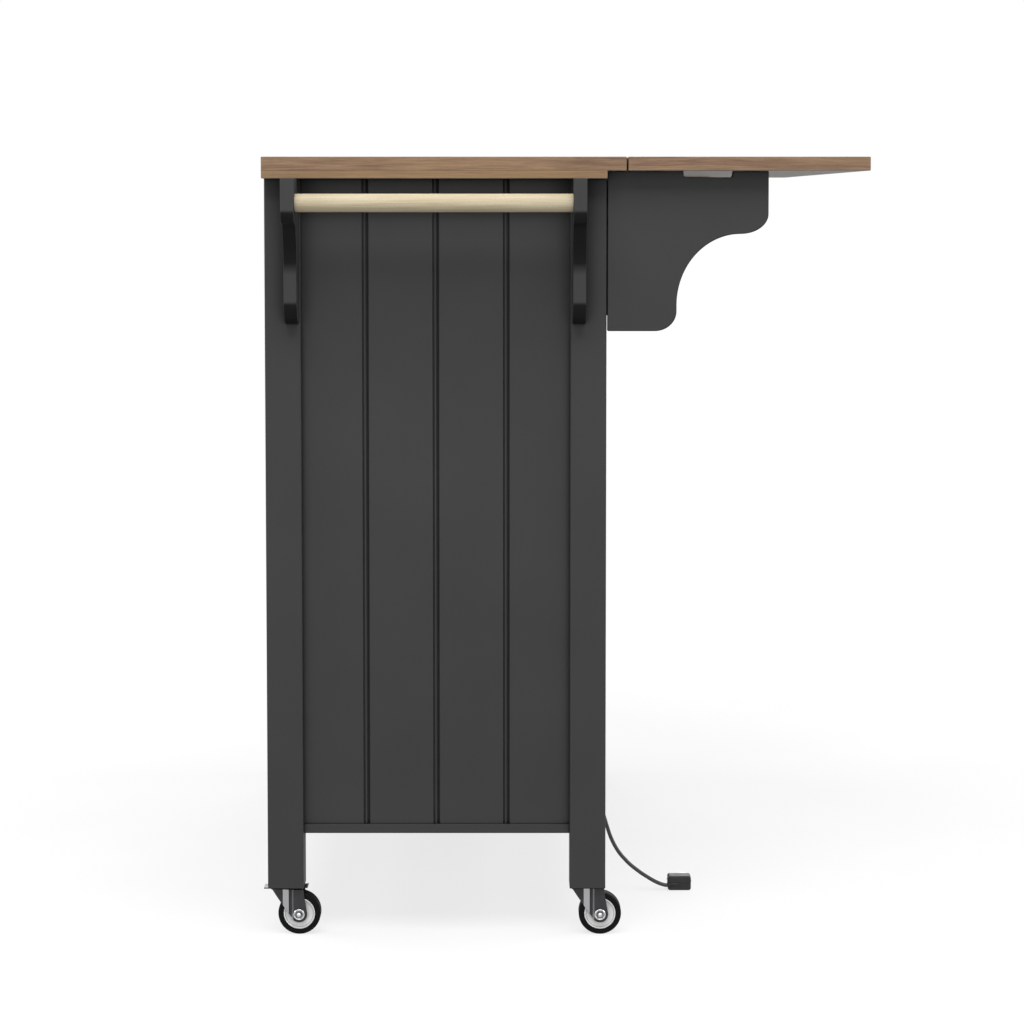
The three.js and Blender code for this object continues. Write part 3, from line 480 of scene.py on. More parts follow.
wedge_profile = [(0, -wedge_crown), (wedge_radii[0] - 0.5, -wedge_crown)]
for ring in wedge_rings:
    radius = wedge_radii[0] + (wedge_radii[1] - wedge_radii[0]) * ring
    wedge_profile += [(radius - groove, wedge_length * (ring + step))
                      for step, groove in wedge_steps]
wedge_profile += [(wedge_radii[1], wedge_length * 0.9), (wedge_radii[1] * 0.6, wedge_length),
                  (0, wedge_length + wedge_crown)]
wedge = stand(turned("plug_wedge", wedge_profile, 32),
              (cord_middle / MM, plug_low.y, cord_route[-1][1] / MM), (0, wedge_length, wedge_rise))
settle(wedge, "black_plastic", "cabinet")

blade_line = plug_high.y - blade_inset
blade_tip = plug_low.x - blade_size.x
blade_half = blade_size.y / 2
blade_side = [(plug_low.x + blade_root, blade_half), (blade_tip + blade_corner, blade_half),
              (blade_tip, blade_half - blade_corner)]
blade_outline = [(x, blade_line - y) for x, y in blade_side]
blade_outline += [(x, blade_line + y) for x, y in reversed(blade_side)]
plug_metal = []
for place, side in (("lower", -1), ("upper", 1)):
    height = plug_middle - blade_drop + side * blade_spread / 2
    blade = prism(f"plug_blade_{place}", blade_outline, "z",
                  height - blade_size.z / 2, height + blade_size.z / 2)
    plug_metal.append(ease(blade, 0.3, 2))
pin_end = arc((0, pin_length - pin_radius), (pin_radius, pin_radius), 0, 80, 4)
ground_pin = turned("plug_ground_pin", [(0, -1), (pin_radius, -1), *pin_end, (0, pin_length)], 32)
plug_metal.append(stand(ground_pin, (plug_low.x, blade_line - pin_offset, plug_middle), (-1, 0, 0)))
for piece in plug_metal:
    settle(piece, "zinc_steel", "cabinet")

print("plug stands", plug_size.z, "mm high at x =", round(plug_high.x, 1))

# %% [markdown]
# The floor is a plain grey sheet, which sends a little light back up. For the rays that the
# camera, glossy and clear surfaces see it by, white is added until an unshaded floor is just
# white, so it keeps the object's shadow and nothing else. It fades to pure white away from
# the object, which hides its far edge. The world is white for the same rays, and dim for
# those that light things.

# %% Floor and world
floor_half = 15000
floor_glow = 0.73  # added to what the lamps give an unshaded floor
fade_from, fade_to = 0.9, 2.2  # metres from the middle of the floor
world_level = 0.12


def rectangle(low, high):
    return [low, (high[0], low[1]), high, (low[0], high[1])]


def seen_rays(tree):
    """1 for the rays that look for the background, else 0."""
    rays = add(tree, "LightPath", {}).outputs
    seen = rays["Is Camera Ray"]
    for other in (rays["Is Glossy Ray"], rays["Is Transmission Ray"]):
        seen = add(tree, "Math", {"operation": "MAXIMUM", 0: seen, 1: other})
    return seen


floor = prism("floor", rectangle((-floor_half, -floor_half), (floor_half, floor_half)), "z", -20, 0)
floor_material, tree, place = new_material("painted_studio_floor")
seen = seen_rays(tree)
mottle = pattern(tree, place.outputs["Object"], 300)
lit = add(tree, "BsdfDiffuse", {"Color": vary(tree, mottle, "#8a8a8a", "#8e8e8e")})
glow_level = vary(tree, seen, 0, floor_glow, WHOLE)
glow = add(tree, "Emission", {"Color": "#ffffff", "Strength": glow_level})
near = add(tree, "AddShader", {0: lit, 1: glow})
away = add(tree, "VectorMath", {"operation": "LENGTH", 0: place.outputs["Object"]})
fade = vary(tree, away, 0, seen, (fade_from, fade_to))
white = add(tree, "Emission", {"Color": "#ffffff", "Strength": 1})
mixed = add(tree, "MixShader", {0: fade, 1: near, 2: white})
add(tree, "OutputMaterial", {"Surface": mixed})
floor.data.materials.append(floor_material)

world = bpy.data.worlds.new("white studio")
scene.world = world
world.use_nodes = True
tree = world.node_tree
tree.nodes.clear()
strength = vary(tree, seen_rays(tree), world_level, 1, WHOLE)
sky = add(tree, "Background", {"Color": "#ffffff", "Strength": strength})
add(tree, "OutputWorld", {"Surface": sky})
print("world gives", world_level, "of plain light")

# %% [markdown]
# The light is a big soft box high in front of the end: in the photograph the counter's edge
# throws a long shadow down the panel, and whatever faces down is nearly black. A weak low
# box keeps the casters from going black too, and three more light the other sides. The
# level of a box is the share of plain light that it gives a surface that faces it: at 1, a
# colour renders as it is written.

# %% Soft boxes
box_target = Vector((0, -100, 500))
box_distance = 4500
soft_boxes = {  # azimuth and elevation in degrees, width, height and level
    "key box": (0, 56, 4000, 2400, 0.74),
    "low box": (0, 8, 4000, 900, 0.25),
    "front box": (-90, 25, 3600, 2400, 0.5),
    "far end box": (180, 25, 3600, 2400, 0.5),
    "leaf box": (90, 25, 3600, 2400, 0.5),
}

for name, (azimuth, elevation, width, height, level) in soft_boxes.items():
    lamp = bpy.data.lights.new(name, "AREA")
    lamp.shape = "RECTANGLE"
    lamp.size, lamp.size_y = width * MM, height * MM
    lamp.energy = level * (math.pi * box_distance * MM) ** 2
    turn, rise = math.radians(azimuth), math.radians(elevation)
    level_reach = math.cos(rise)
    away = Vector((math.cos(turn) * level_reach, math.sin(turn) * level_reach, math.sin(rise)))
    box = bpy.data.objects.new(name, lamp)
    box.location = (box_target + away * box_distance) * MM
    box.rotation_euler = away.to_track_quat("Z", "Y").to_euler()
    scene.collection.objects.link(box)

# %% [markdown]
# The body is board, sprayed with a charcoal satin lacquer. Spraying leaves no brush marks,
# only orange peel, shallow dimples a millimetre or two across, and a tone that drifts
# slightly over a board. Shade is painted into the colour too: grooves, inner corners and
# whatever faces down get a near-black tint, for the shade that falls there. Paint is a
# dielectric, so metallic is 0.

# %% Sprayed satin paint
# Painted shade: near black in grooves and corners, by ambient occlusion, and on faces that look
# down.
def painted_down_and_hollow_shade(tree, place, coat):
    facing = add(tree, "SeparateXYZ", {0: place.outputs["Normal"]})
    upright = vary(tree, facing.outputs["Z"], 0, 1, (-0.14, -0.01))
    unshaded = by_hollow(tree, 30, (0.3, 0.8), 0, upright)
    return {"Base Color": vary(tree, unshaded, "#151515", coat, WHOLE)}


paint = skin("sprayed_satin_paint", {"IOR": 1.5, "Specular IOR Level": 0.08},
             ("#424242", "#464646"), (0.46, 0.54), patches=(160,), depth=0.02, grain=(1.8,),
             change=painted_down_and_hollow_shade)
print("made", paint.name)

# %% [markdown]
# The counter is board faced with oak veneer, stained brown and sealed with a satin lacquer.
# Its edges have a band of the same veneer, so even on the ends the grain runs along the
# edge: the graph finds the ends by the direction of the surface and swaps the grain's
# direction there. Fibres are about a millimetre wide and some centimetres long, and broader
# wavy figure lies over them. The counter is 25 mm thick because a second strip is glued
# under the 16 mm board: it is yellower, and a fine dark joint shows between them. The
# underside has a plain grey-brown backing sheet.

# %% Stained oak veneer
counter_board = 16
glue_line = 0.5
flat_limit = 0.7  # how far a face's normal leans one way before the face counts as that side


def stained_oak():
    material, tree, place = new_material("stained_oak_veneer")
    spot = place.outputs["Object"]
    parts = add(tree, "SeparateXYZ", {0: spot}).outputs
    facing = add(tree, "SeparateXYZ", {0: place.outputs["Normal"]}).outputs
    joint = (counter_top - counter_board) * MM
    is_long = add(tree, "Math", {"operation": "COMPARE", 0: facing["X"], 1: 0, 2: flat_limit})
    is_under = add(tree, "Math", {"operation": "LESS_THAN", 0: facing["Z"], 1: -flat_limit})
    is_strip = add(tree, "Math", {"operation": "LESS_THAN", 0: parts["Z"], 1: joint})
    is_joint = add(tree, "Math", {"operation": "COMPARE", 0: parts["Z"], 1: joint,
                                  2: glue_line / 2 * MM})
    swapped = add(tree, "CombineXYZ", {"X": parts["Y"], "Y": parts["X"], "Z": parts["Z"]})
    grain = add(tree, "Mix", {"data_type": "VECTOR", 0: is_long, 4: swapped, 5: spot})
    shift = add(tree, "CombineXYZ", {"X": is_strip})
    vector = add(tree, "VectorMath", {"operation": "ADD", 0: grain, 1: shift})

    fibres = pattern(tree, vector, (38, 1.1, 1.1), 4, 0.6)
    figure = pattern(tree, vector, (90, 5, 5), 4, 0.6, 0.9)
    patches = pattern(tree, vector, (260, 34, 12))
    pores = pattern(tree, vector, (10, 0.5, 0.5), 1)
    streak = add(tree, "Math", {"operation": "ADD", 0: vary(tree, fibres, 0, 0.45, (0.34, 0.66)),
                                1: vary(tree, figure, 0, 0.55, (0.34, 0.66))})
    wood = vary(tree, streak, "#694d3c", "#a18367", WHOLE)
    warm = vary(tree, patches, wood, "#a2845e", (0.4, 0.65), 0.4)
    strip = vary(tree, is_strip, warm, "#a08259", WHOLE, 0.45)
    veneer = vary(tree, pores, strip, "#553e2f", (0.38, 0.28), 0.4)
    jointed = vary(tree, is_joint, veneer, "#4c382b", WHOLE, 0.5)
    finish(tree, {"Base Color": vary(tree, is_under, jointed, "#7d746b", WHOLE),
                  "Roughness": vary(tree, fibres, 0.46, 0.58),
                  "IOR": 1.5, "Specular IOR Level": 0.3}, fibres, 0.05)
    return material


oak = stained_oak()
print("made", oak.name)

# %% [markdown]
# The towel bar is a bare beech dowel, turned and sanded. Beech is pale and even, with short
# brown flecks where the rays are cut, about two millimetres long, in line with the grain.
# The same graph, with another pair of colours, serves the drawers' birch plywood.

# %% Sanded pale woods
def pale_wood(name, low, high, fleck, grain_axis):
    material, tree, place = new_material(name)

    def grained(length, width, *look):
        size = (length, width, width) if grain_axis == "x" else (width, width, length)
        return pattern(tree, place.outputs["Object"], size, *look)

    fibres = grained(60, 1.3, 4, 0.6)
    bands = grained(200, 9, 2, 0.5, 0.4)
    streak = add(tree, "Math", {"operation": "ADD", 0: vary(tree, fibres, 0, 0.6, (0.35, 0.65)),
                                1: vary(tree, bands, 0, 0.4, (0.35, 0.65))})
    wood = vary(tree, streak, low, high, WHOLE)
    finish(tree, {"Base Color": vary(tree, grained(2.4, 0.5, 1), wood, fleck, (0.38, 0.28), 0.45),
                  "Roughness": vary(tree, fibres, 0.5, 0.62),
                  "IOR": 1.5, "Specular IOR Level": 0.35}, fibres, 0.03)
    return material


beech = pale_wood("sanded_beech", "#c2b18f", "#dfd3b7", "#aa926b", "z")
birch = pale_wood("lacquered_birch_ply", "#c7ab7e", "#d8c096", "#a98a5c", "x")
print("made", beech.name, "and", birch.name)

# %% [markdown]
# The casters' forks and brake levers are pressed from sheet steel and dipped in black
# enamel, which is baked on. It is glossier than the body's paint: a dark base under a thin
# clear coat. Its hollows get a near-black painted shade, and a change to the coat can paint a
# highlight on as bright steel.

# %% Baked black enamel on pressed steel
def black_enamel(name, change=None):
    gloss = {"IOR": 1.5, "Specular IOR Level": 0.2, "Coat Weight": 0.2, "Coat Roughness": 0.22}
    # The near-black tint in hollows is painted shade.
    return skin(name, gloss, ("#303032", "#38383a"), (0.3, 0.42), patches=((5, 5, 12), 3),
                depth=0.03, hollow_shade=(5, (0.5, 0.95), "#020202"), change=change)


enamel = black_enamel("baked_enamel_steel")
print("made", enamel.name)

# %% [markdown]
# The wheels' hubs are moulded in pale nylon, which lets a little light in. A fine line of
# painted shade darkens the corner under the rim. The tyres are black rubber, matt from its
# mould, with dust in patches of a few millimetres, which are a shade greyer.

# %% Moulded nylon and moulded rubber
# The grey line in the corner under the rim is painted shade.
nylon = skin("moulded_nylon", {"IOR": 1.53, "Subsurface Weight": 0.1, "Subsurface Scale": 0.002},
             ("#f2f3f3", "#f9f9f8"), (0.3, 0.42), patches=(7, 4), depth=0.02,
             hollow_shade=(1.5, (0.5, 0.9), "#6e6e6d"))
rubber = skin("moulded_rubber", {"IOR": 1.52, "Specular IOR Level": 0.1}, ("#080808", "#0f0f10"),
              (0.6, 0.75), patches=(4, 5, 0.65), depth=0.03, grain=(0.6, 1))
print("made", nylon.name, "and", rubber.name)

# %% [markdown]
# Flat boards and plates have the right shape already, so they stay, and only get eased edges
# and a finish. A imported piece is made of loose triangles: welding them and dissolving the
# flat ones gives the bevel clean edges. All of that is done with modifiers, so the packed
# mesh itself isn't touched.

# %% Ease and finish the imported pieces
finishes.update(counter_wood=oak, painted_wood=paint, pale_wood=beech, birch=birch,
                black_steel=enamel, hub_nylon=nylon, tyre_rubber=rubber)
edge_width = {  # millimetres, by the start of the piece's name; others get the last one
    "main_top": 0.8, "drop_leaf": 0.8, "leg": 0.8, "end_panel": 0.2, "back_panel": 0.2,
    "door_rod": 0.3, "door": 0.6, "drawer_front": 1.0, "wing_hinge": 0, "leaf_hinge": 0,
    "brake": 0.25, "outlet": 0.8, "": 0.6,
}

for part in frame["record"]["subparts"]:
    name, node = part["node"], frame["nodes"][part["node"]]
    for slot in node.material_slots:
        slot.material = finishes[part["material_slot"]]
    if node.hide_render:
        continue
    weld = node.modifiers.new("weld", "WELD")
    weld.merge_threshold = 0.01 * MM
    flat = node.modifiers.new("dissolve flats", "DECIMATE")
    flat.decimate_type = "DISSOLVE"
    flat.angle_limit = math.radians(0.5)
    width = next(w for start, w in edge_width.items() if name.startswith(start))
    if width:
        ease(node, width)

# %% [markdown]
# Each wing is one board, sawn to an outline: a foot that carries the hinge, a hollow that
# clears the knees and an arm under the leaf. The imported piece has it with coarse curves. It
# is drawn again here with fine ones, because against white the curve is what the eye
# follows. A shallow notch in the top edge lets a finger pull the wing out.

# %% Wings
wing_foot_width = 80
wing_arm_height = 72.5
wing_corner_height = 23
wing_foot_corner = 25
wing_arm_corner = 32
wing_scoop_height = 82
wing_notch_width = 57
wing_notch_depth = 7.2
wing_notch_middle = 116  # hinge edge to the notch's middle
notch_corner = 3


def wing_outline(low, high):
    foot, scoop_end = low.y + wing_foot_width, high.y - wing_arm_corner
    arm = high.z - wing_arm_height
    notch = low.y + wing_notch_middle
    left, right = notch - wing_notch_width / 2, notch + wing_notch_width / 2
    bottom = high.z - wing_notch_depth + notch_corner
    corner = (notch_corner, notch_corner)
    points = [(low.y, high.z), (low.y, low.z)]
    points += arc((foot - wing_foot_corner, low.z + wing_corner_height),
                  (wing_foot_corner, wing_corner_height), -90, 0, 16)
    points += arc((scoop_end, arm - wing_scoop_height),
                  (scoop_end - foot, wing_scoop_height), 180, 90, 32)
    points += arc((scoop_end, arm + wing_corner_height),
                  (wing_arm_corner, wing_corner_height), -90, 0, 16)[1:]
    points += [(high.y, high.z), (right, high.z)]
    points += arc((right - notch_corner, bottom), corner, 0, -90, 5)
    points += arc((left + notch_corner, bottom), corner, -90, -180, 5)
    return points + [(left, high.z)]


for end in ("right", "left"):
    low, high = span(f"leaf_wing_{end}")
    wing = prism(f"wing_board_{end}", wing_outline(low, high), "x", low.x, high.x)
    settle(ease(wing, 0.9), "painted_wood", f"wing_{end}", f"leaf_wing_{end}")
print("wing outline has", len(wing_outline(low, high)), "points")

# %% [markdown]
# The towel bar sits between two sawn corbels: a straight face, a brow that rolls under, a
# long hollow, a nose and a rounded chin. The bar is a turned dowel with eased ends.

# %% Brackets and towel bar
bracket_face_height = 36
bracket_brow_reach = 10
bracket_brow_rise = 15.5
bracket_scoop_height = 59.5
bracket_nose_reach = 30
bracket_nose_height = 30
bracket_chin = 27


def bracket_outline(low, high):
    brow = high.z - bracket_face_height
    brow_middle = high.x - bracket_brow_reach
    nose = low.x + bracket_nose_reach
    scoop_end = brow - bracket_brow_rise - bracket_scoop_height
    chin = scoop_end - bracket_nose_height
    scoop = (brow_middle - nose, bracket_scoop_height)
    points = [(low.x, high.z), (high.x, high.z)]
    points += arc((brow_middle, brow), (bracket_brow_reach, bracket_brow_rise), 0, -90, 12)
    points += arc((brow_middle, scoop_end), scoop, 90, 180, 22)[1:]
    points += arc((nose - bracket_chin, chin), (bracket_chin, bracket_chin), 0, -90, 14)
    return points + [(low.x, chin - bracket_chin)]


for side in ("front", "back"):
    low, high = span(f"towel_bracket_{side}")
    bracket = prism(f"corbel_{side}", bracket_outline(low, high), "y", low.y, high.y)
    settle(ease(bracket, 1.0), "painted_wood", "cabinet", f"towel_bracket_{side}")

bar_ease = 1.2
bar_low, bar_high = span("towel_bar")
bar_radius = (bar_high.z - bar_low.z) / 2
bar_length = bar_high.y - bar_low.y
lower_end = arc((bar_radius - bar_ease, bar_ease), (bar_ease, bar_ease), -90, 0, 3)
upper_end = [(radius, bar_length - height) for radius, height in reversed(lower_end)]
middle = (bar_low + bar_high) / 2
bar = turned("towel_dowel", [(0, 0), *lower_end, *upper_end, (0, bar_length)], 72)
stand(bar, (middle.x, bar_low.y, middle.z), (0, 1, 0))
settle(bar, "pale_wood", "cabinet", "towel_bar")
print("towel bar:", round(2 * bar_radius, 1), "by", round(bar_length, 1), "mm")

# %% [markdown]
# A caster's fork is one pressed sheet: a round skirt in front, a rib and a groove on each
# side that stiffen it, and two cheeks that hold the axle. The shape is where two prisms
# meet, one drawn from the side and one from above, less the room for the wheel. Boolean
# modifiers do that, and their result is kept as the mesh, because four forks share it.
# A highlight is painted on the ribs and the cheeks' front edges, in the colour of bright steel.

# %% Fork
def work(piece, other, operation):
    """Cuts or intersects a piece with another, which is used up."""
    step = piece.modifiers.new(operation, "BOOLEAN")
    step.operation = operation
    step.object = other
    step.solver = "EXACT"
    bpy.context.view_layer.update()
    graph = bpy.context.evaluated_depsgraph_get()
    result = bpy.data.meshes.new_from_object(piece.evaluated_get(graph))
    piece.modifiers.clear()
    piece.data = result
    bpy.data.objects.remove(other)


wheel_radius = 25
wheel_play = 1.5  # round the wheel, in the fork
caster_trail = 15
axle_hole = 4.1
fork_plain_top = 56
lever_room = 1.8
fork_sheet = 2.4
fork_half = 14.9
fork_inner_half = 12.5
fork_front = 20.6
fork_flare = (4.3, 3.7)
fork_back = 19.8
fork_back_drop = 3
fork_roof = 8
fork_boss = 9.6
fork_nose_half = 12.6
fork_wheel_half = 10.7
rib_front, rib_back, rib_inset = 4.2, 2.8, 1
groove_front, groove_back, groove_inset = 3.3, 6.3, 1.9
cheek_front = 8.2
edge_highlight_share = 0.7  # of the cheeks' edges; the ribs get the painted highlight all over
stem_radius = 5
stem_top = 93
beyond = 20  # past any part of a fork


def fork_side(top):
    def touch(point, side):
        """Where a line from a point touches the boss, in degrees."""
        away = Vector(point) - Vector(boss)
        return math.degrees(math.atan2(away.y, away.x) + side * math.acos(fork_boss / away.length))

    boss = (caster_trail, wheel_radius)
    flare = (-fork_front + fork_flare[0], fork_plain_top - fork_flare[1])
    back = (fork_back, fork_plain_top - fork_back_drop)
    foot = arc(boss, (fork_boss, fork_boss), touch(flare, 1), touch(back, -1) + 360, 24)
    return [(back[0], top), (-fork_front, top), flare, *foot, back]


def fork_plan(nose_reach, nose_half, steps):
    far = caster_trail + wheel_radius
    nose = arc((0, -rib_front), (nose_half, nose_reach - rib_front), 180, 360, 32)
    right = list(steps) + [(steps[-1][0], far)]
    left = [(-x, y) for x, y in reversed(right)]
    return left + nose + right


def make_fork(name, top):
    fork = prism(name, fork_side(top), "x", -fork_half, fork_half)
    outside = [(fork_half - rib_inset, rib_back), (fork_half - groove_inset, groove_front),
               (fork_half - groove_inset, groove_back), (fork_half, cheek_front)]
    inside = [(fork_wheel_half, -rib_front), (fork_wheel_half, cheek_front),
              (fork_inner_half, cheek_front + fork_sheet)]
    skin_plan = fork_plan(fork_front, fork_nose_half, outside)
    room_plan = fork_plan(fork_front - fork_sheet, fork_nose_half - fork_sheet, inside)
    gap_plan = rectangle((-fork_inner_half, fork_roof), (fork_inner_half, 3 * beyond))
    work(fork, prism("skin", skin_plan, "z", 0, fork_plain_top), "INTERSECT")
    work(fork, prism("room", room_plan, "z", -1, top - fork_sheet), "DIFFERENCE")
    work(fork, prism("gap", gap_plan, "z", -2, fork_plain_top + 1), "DIFFERENCE")
    for radius, half, steps in ((wheel_radius + wheel_play, fork_wheel_half, 64),
                                (axle_hole, beyond, 32)):
        drum = turned("drum", [(0, -half), (radius, -half), (radius, half), (0, half)], steps)
        work(fork, stand(drum, (0, caster_trail, wheel_radius), (1, 0, 0)), "DIFFERENCE")
    return fork


# Painted highlight: the ribs and the cheeks' front edges get the colour and metallic of bright
# steel.
def painted_highlight(tree, place, coat):
    """A painted highlight of bright steel on the ribs' outer faces, and less of it on the cheeks'
    front edges.
    """
    def band(across, low, high):
        return add(tree, "Math", {"operation": "COMPARE", 0: parts[across],
                                  1: (low + high) / 2 * MM, 2: (high - low) / 2 * MM})

    parts = add(tree, "SeparateXYZ", {0: place.outputs["Object"]}).outputs
    both = add(tree, "Math", {"operation": "MULTIPLY_ADD", 0: band("Y", groove_back, cheek_front),
                              1: edge_highlight_share, 2: band("Y", -rib_front, rib_back)})
    inner_reach = fork_wheel_half + 1
    highlight_share = add(tree, "Math", {"operation": "SUBTRACT", "use_clamp": True, 0: both,
                              1: band("X", -inner_reach, inner_reach)})
    return {"Metallic": highlight_share, "Base Color": vary(tree, highlight_share, coat, "#9a9a9c", WHOLE)}


# Enamel with the painted highlight, for the forks.
highlighted_enamel = black_enamel("enamel_steel_painted_highlight", painted_highlight)
fork_meshes = {
    "front": make_fork("braked fork", fork_plain_top - lever_room),
    "back": make_fork("plain fork", fork_plain_top),
}
print("fork faces:", {side: len(fork.data.polygons) for side, fork in fork_meshes.items()})

# %% [markdown]
# The wheel is a nylon hub pressed into a rubber tyre. The hub's rim stands proud round a
# shallow dish. The tyre has a flat tread with rounded shoulders and a fine step on its side.
# All of it is turned, and drawn once for the four wheels.

# %% Wheel profiles
hub_half = 10
hub_radius = 18.4
boss_radius = 8
dish_depth = 1.4
shoulder = 2.5  # round of the tyre's tread


def mirrored(profile):
    """A closed profile from its upper half, drawn from the bore outwards."""
    return [(r, -h) for r, h in profile] + [(r, h) for r, h in reversed(profile)]


def from_face(face, profile):
    """Radii, and heights that are counted down from a face."""
    return [(radius, face - down) for radius, down in profile]


hub_upper = from_face(hub_half, [
    (axle_hole, 0), (boss_radius - 0.6, 0), (boss_radius, 0.6), (boss_radius + 0.4, 2.6),
    (14.6, dish_depth + 0.4), (15.9, dish_depth + 0.3), (16.7, dish_depth + 0.3),
    (16.8, 0.3), (17.1, 0), (18.1, 0), (hub_radius, 0.3),
])
tyre_inner = hub_radius + 0.1
tyre_upper = from_face(hub_half, [
    (tyre_inner, 0.6), (tyre_inner + 0.5, 0.1), (21.4, 0), (21.7, 0.35), (22.1, 0.35), (22.4, 0.05),
])
for degrees in (15, 32, 50, 70, 90):
    turn = math.radians(degrees)
    tyre_upper.append((wheel_radius - shoulder + shoulder * math.sin(turn),
                       hub_half - 2.55 + shoulder * math.cos(turn)))
print("tyre profile:", len(tyre_upper), "points a side")

# %% [markdown]
# The axle is a bolt with a flanged head: a bright ring, a hexagonal socket inside it and a
# domed end in the socket, as on a rivet. The other end has a hexagonal lock nut.

# %% Axle and stem profiles
axle_radius = 3.8
head_seat = 15.2  # middle of the wheel to the flange
head_end = 19.2
nut_round, nut_corner, nut_flats = 4.9, 5.5, 6
flange_radius = 6.6
washer_radius = 6.2
socket_flats = 4.8  # middle to a flat
dome_radius, dome_rise = 2.7, 1.8
dome_foot = head_seat + 2.2

axle_profile = [
    (0, -head_end), (3.6, -head_end), (nut_round, -head_end + 0.5, nut_flats),
    (nut_corner, -head_end + 0.9, nut_flats), (nut_corner, -head_seat - 0.5, nut_flats),
    (washer_radius, -head_seat - 0.5), (washer_radius, -head_seat), (axle_radius, -head_seat),
    (axle_radius, head_seat), (flange_radius, head_seat), (flange_radius, head_seat + 0.9),
    (flange_radius - 0.5, head_seat + 1.5), (5.7, head_seat + 1.6),
    (socket_flats, head_seat + 1.4, 6), (socket_flats - 0.2, head_seat - 0.5, 6),
    (dome_radius + 0.3, head_seat - 0.6),
    *arc((0, dome_foot), (dome_radius, dome_rise), 0, 72, 4), (0, head_end),
]


def stem_profile(length):
    groove = stem_radius - 0.7
    return [(0, -fork_sheet), (stem_radius, -fork_sheet)] + from_face(length, [
        (stem_radius, 10), (groove, 9.4), (groove, 7), (stem_radius, 6.4),
        (stem_radius, 2), (stem_radius - 1.2, 0), (0, 0),
    ])


print("axle is", 2 * head_end, "mm long")

# %% [markdown]
# The fork of a stem caster is riveted to a steel stem, which is pushed up into a socket in
# the leg. The groove near the stem's top takes the spring ring that holds it there. All four
# casters are put together here from the same few shapes, each at its own leg.

# %% Casters
for side in ("front", "back"):
    for end in ("right", "left"):
        place = f"{side}_{end}"
        caster_body, wheel_body = f"caster_{place}", f"wheel_{place}"
        low, high = span(f"caster_hub_{place}")
        wheel = (low + high) / 2
        outward = (1 if end == "right" else -1, 0, 0)
        top = fork_plain_top - (lever_room if side == "front" else 0)

        fork = bpy.data.objects.new(f"fork_{place}", fork_meshes[side].data)
        scene.collection.objects.link(fork)
        fork.location = Vector((wheel.x, wheel.y - caster_trail, 0)) * MM
        stem = turned(f"stem_{place}", stem_profile(stem_top - top), 32)
        stem.location = Vector((wheel.x, wheel.y - caster_trail, top)) * MM
        ease(fork, 0.45, 3, 40)
        settle(fork, "black_steel", caster_body, f"caster_fork_{place}", material=highlighted_enamel)
        settle(stem, "zinc_steel", caster_body, f"caster_fork_{place}")

        hub = turned(f"hub_{place}", mirrored(hub_upper) + [(axle_hole, -hub_half)], 96)
        tyre = turned(f"tyre_{place}", mirrored(tyre_upper) + [(tyre_inner, -hub_half + 0.6)], 128)
        bolt = turned(f"axle_{place}", axle_profile, 48)
        for piece in (hub, tyre, bolt):
            ease(stand(piece, wheel, outward), 0.2, 2)
        settle(hub, "hub_nylon", wheel_body, f"caster_hub_{place}")
        settle(tyre, "tyre_rubber", wheel_body, f"caster_tyre_{place}")
        settle(bolt, "zinc_steel", caster_body, f"caster_axle_{place}")
for fork in fork_meshes.values():
    bpy.data.objects.remove(fork)
tyre_feet = [round(span(f"caster_tyre_{side}_right")[0].z, 2) for side in ("front", "back")]
print("casters stand on", tyre_feet)

# %% [markdown]
# A drawer box is five pieces of birch plywood: two long sides, a back and an inner front
# between them, and a thin bottom inside all four. Each board is its own object, with its own
# X along its grain and its own Z through its thickness. One material then runs the grain
# along each board's own X in all of them.

# %% Drawer boxes
drawer_wall = 12
drawer_bottom = 6
board_corner = 0.8
UNIT = {"x": Vector((1, 0, 0)), "y": Vector((0, 1, 0)), "z": Vector((0, 0, 1))}


def board(name, low, high, grain, through):
    """A plywood board between two corners, with its grain and thickness along two axes."""
    middle, size = (low + high) / 2, high - low
    side = next(axis for axis in "xyz" if axis not in (grain, through))
    length, width, depth = (size.dot(UNIT[axis]) / 2 for axis in (grain, side, through))
    piece = slab(name, (-length, -width, -depth), (length, width, depth), "z", board_corner, 2)
    own_axes = (UNIT[grain], UNIT[through].cross(UNIT[grain]), UNIT[through])
    turn = Matrix(own_axes).transposed().to_4x4()
    piece.matrix_world = Matrix.Translation(middle * MM) @ turn
    return ease(piece, 0.5, 2)


for end in ("right", "left"):
    node = f"drawer_box_{end}"
    low, high = span(node)
    left, right = low.x + drawer_wall, high.x - drawer_wall
    near, far = low.y + drawer_wall, high.y - drawer_wall
    boards = {  # two corners, the grain's axis and the thickness's axis
        "side_a": (low, (left, high.y, high.z), "y", "x"),
        "side_b": ((right, low.y, low.z), high, "y", "x"),
        "front": ((left, low.y, low.z), (right, near, high.z), "x", "y"),
        "back": ((left, far, low.z), (right, high.y, high.z), "x", "y"),
        "bottom": ((left, near, low.z), (right, far, low.z + drawer_bottom), "x", "z"),
    }
    for name, (corner, opposite, grain, through) in boards.items():
        piece = board(f"{node}_{name}", Vector(corner), Vector(opposite), grain, through)
        settle(piece, "birch", f"drawer_{end}", node)
print("drawer box:", [round(v, 1) for v in high - low])

# %% [markdown]
# The hinges are screwed steel strips. The screws are small oval heads with a square drive,
# set in so that they stand only half a millimetre proud: the two halves of a folded hinge
# come within two millimetres of each other. The outlet's plate has one screw in its middle
# and a raised ring round each socket.

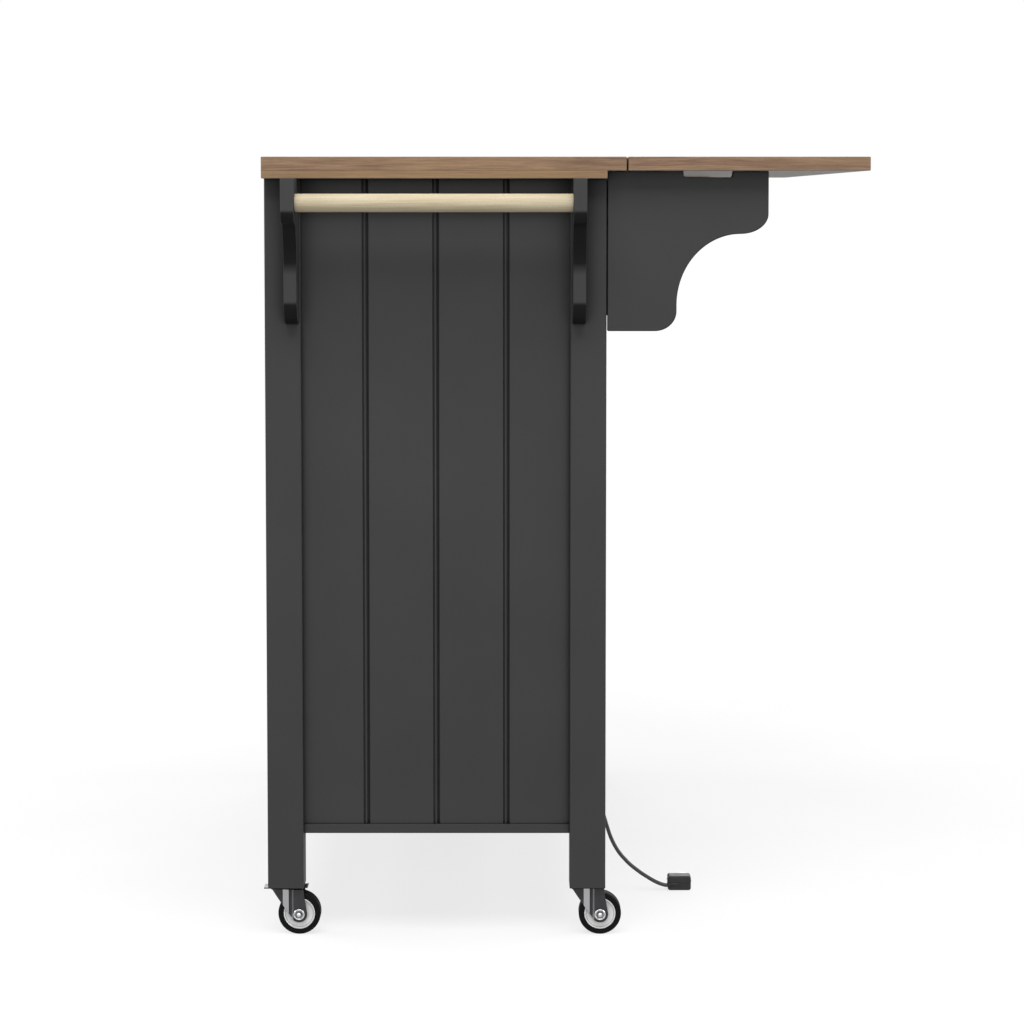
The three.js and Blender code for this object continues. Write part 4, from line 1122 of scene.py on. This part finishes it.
# %% Screws and outlet details
hinge_plate = 1
hinge_pin_inset = 2  # a strip's face to the middle of its barrel
plate_middle = 10.5  # barrel's middle to the middle of a strip's flat part
split_half = 1  # leaf's edge to the middle of the split
socket_reach = 29  # outlet's middle to a socket's middle
screw_profile = [(0, -0.4), (2.1, -0.4), (2.6, 0.1), (2.2, 0.35), (1.5, 0.5), (0.75, 0.55, 4),
                 (0.7, -0.2, 4), (0, -0.25)]
ring_profile = [(16.2, -0.2), (16.9, -0.2), (16.9, 0.3), (16.6, 0.5), (16.4, 0.5), (16.2, 0.3),
                (16.2, -0.2)]


def screw(name, spot, direction, body, slot="zinc_steel"):
    settle(stand(turned(name, screw_profile, 24), spot, direction), slot, body)


def screw_row(node, along, count, direction, body, surface):
    """Screws spaced evenly along a hinge strip, on the face that looks in a direction."""
    low, high = span(node)
    for i in range(count):
        spot = (low + high) / 2
        spot[along] = low[along] + (high[along] - low[along]) * (i + 0.5) / count
        for axis, value in surface.items():
            spot[axis] = value
        screw(f"{node}_screw_{i + 1}", spot, direction, body)


for end, sign in (("right", 1), ("left", -1)):
    plate_face = span(f"wing_hinge_plate_{end}")[0].y
    board_low, board_high = span(f"leaf_wing_{end}")
    inner_face = board_low.x if sign > 0 else board_high.x
    barrel_x, barrel_y = inner_face - sign * hinge_pin_inset, plate_face + hinge_pin_inset
    screw_row(f"wing_hinge_plate_{end}", 2, 3, (0, 1, 0), "cabinet",
              {0: barrel_x - sign * plate_middle, 1: plate_face + hinge_plate})
    screw_row(f"wing_hinge_flap_{end}", 2, 3, (-sign, 0, 0), f"wing_{end}",
              {0: inner_face - sign * hinge_plate, 1: barrel_y + plate_middle})
leaf_low = span("drop_leaf")[0]
for node, body, side in (("leaf_hinge_plate", "cabinet", -1), ("leaf_hinge_flap", "leaf", 1)):
    screw_row(node, 0, 8, (0, 0, -1), body,
              {1: leaf_low.y - split_half + side * plate_middle, 2: leaf_low.z - hinge_plate})

outlet_low, outlet_high = span("outlet_plate")
outlet_spot = (outlet_low + outlet_high) / 2
outlet_spot.y = outlet_high.y
screw("outlet_screw", outlet_spot, (0, 1, 0), "cabinet", "black_plastic")
for place, side in (("left", -1), ("right", 1)):
    ring = turned(f"socket_ring_{place}", ring_profile, 64)
    stand(ring, outlet_spot + Vector((side * socket_reach, 0, 0)), (0, 1, 0))
    settle(ring, "black_plastic", "cabinet")
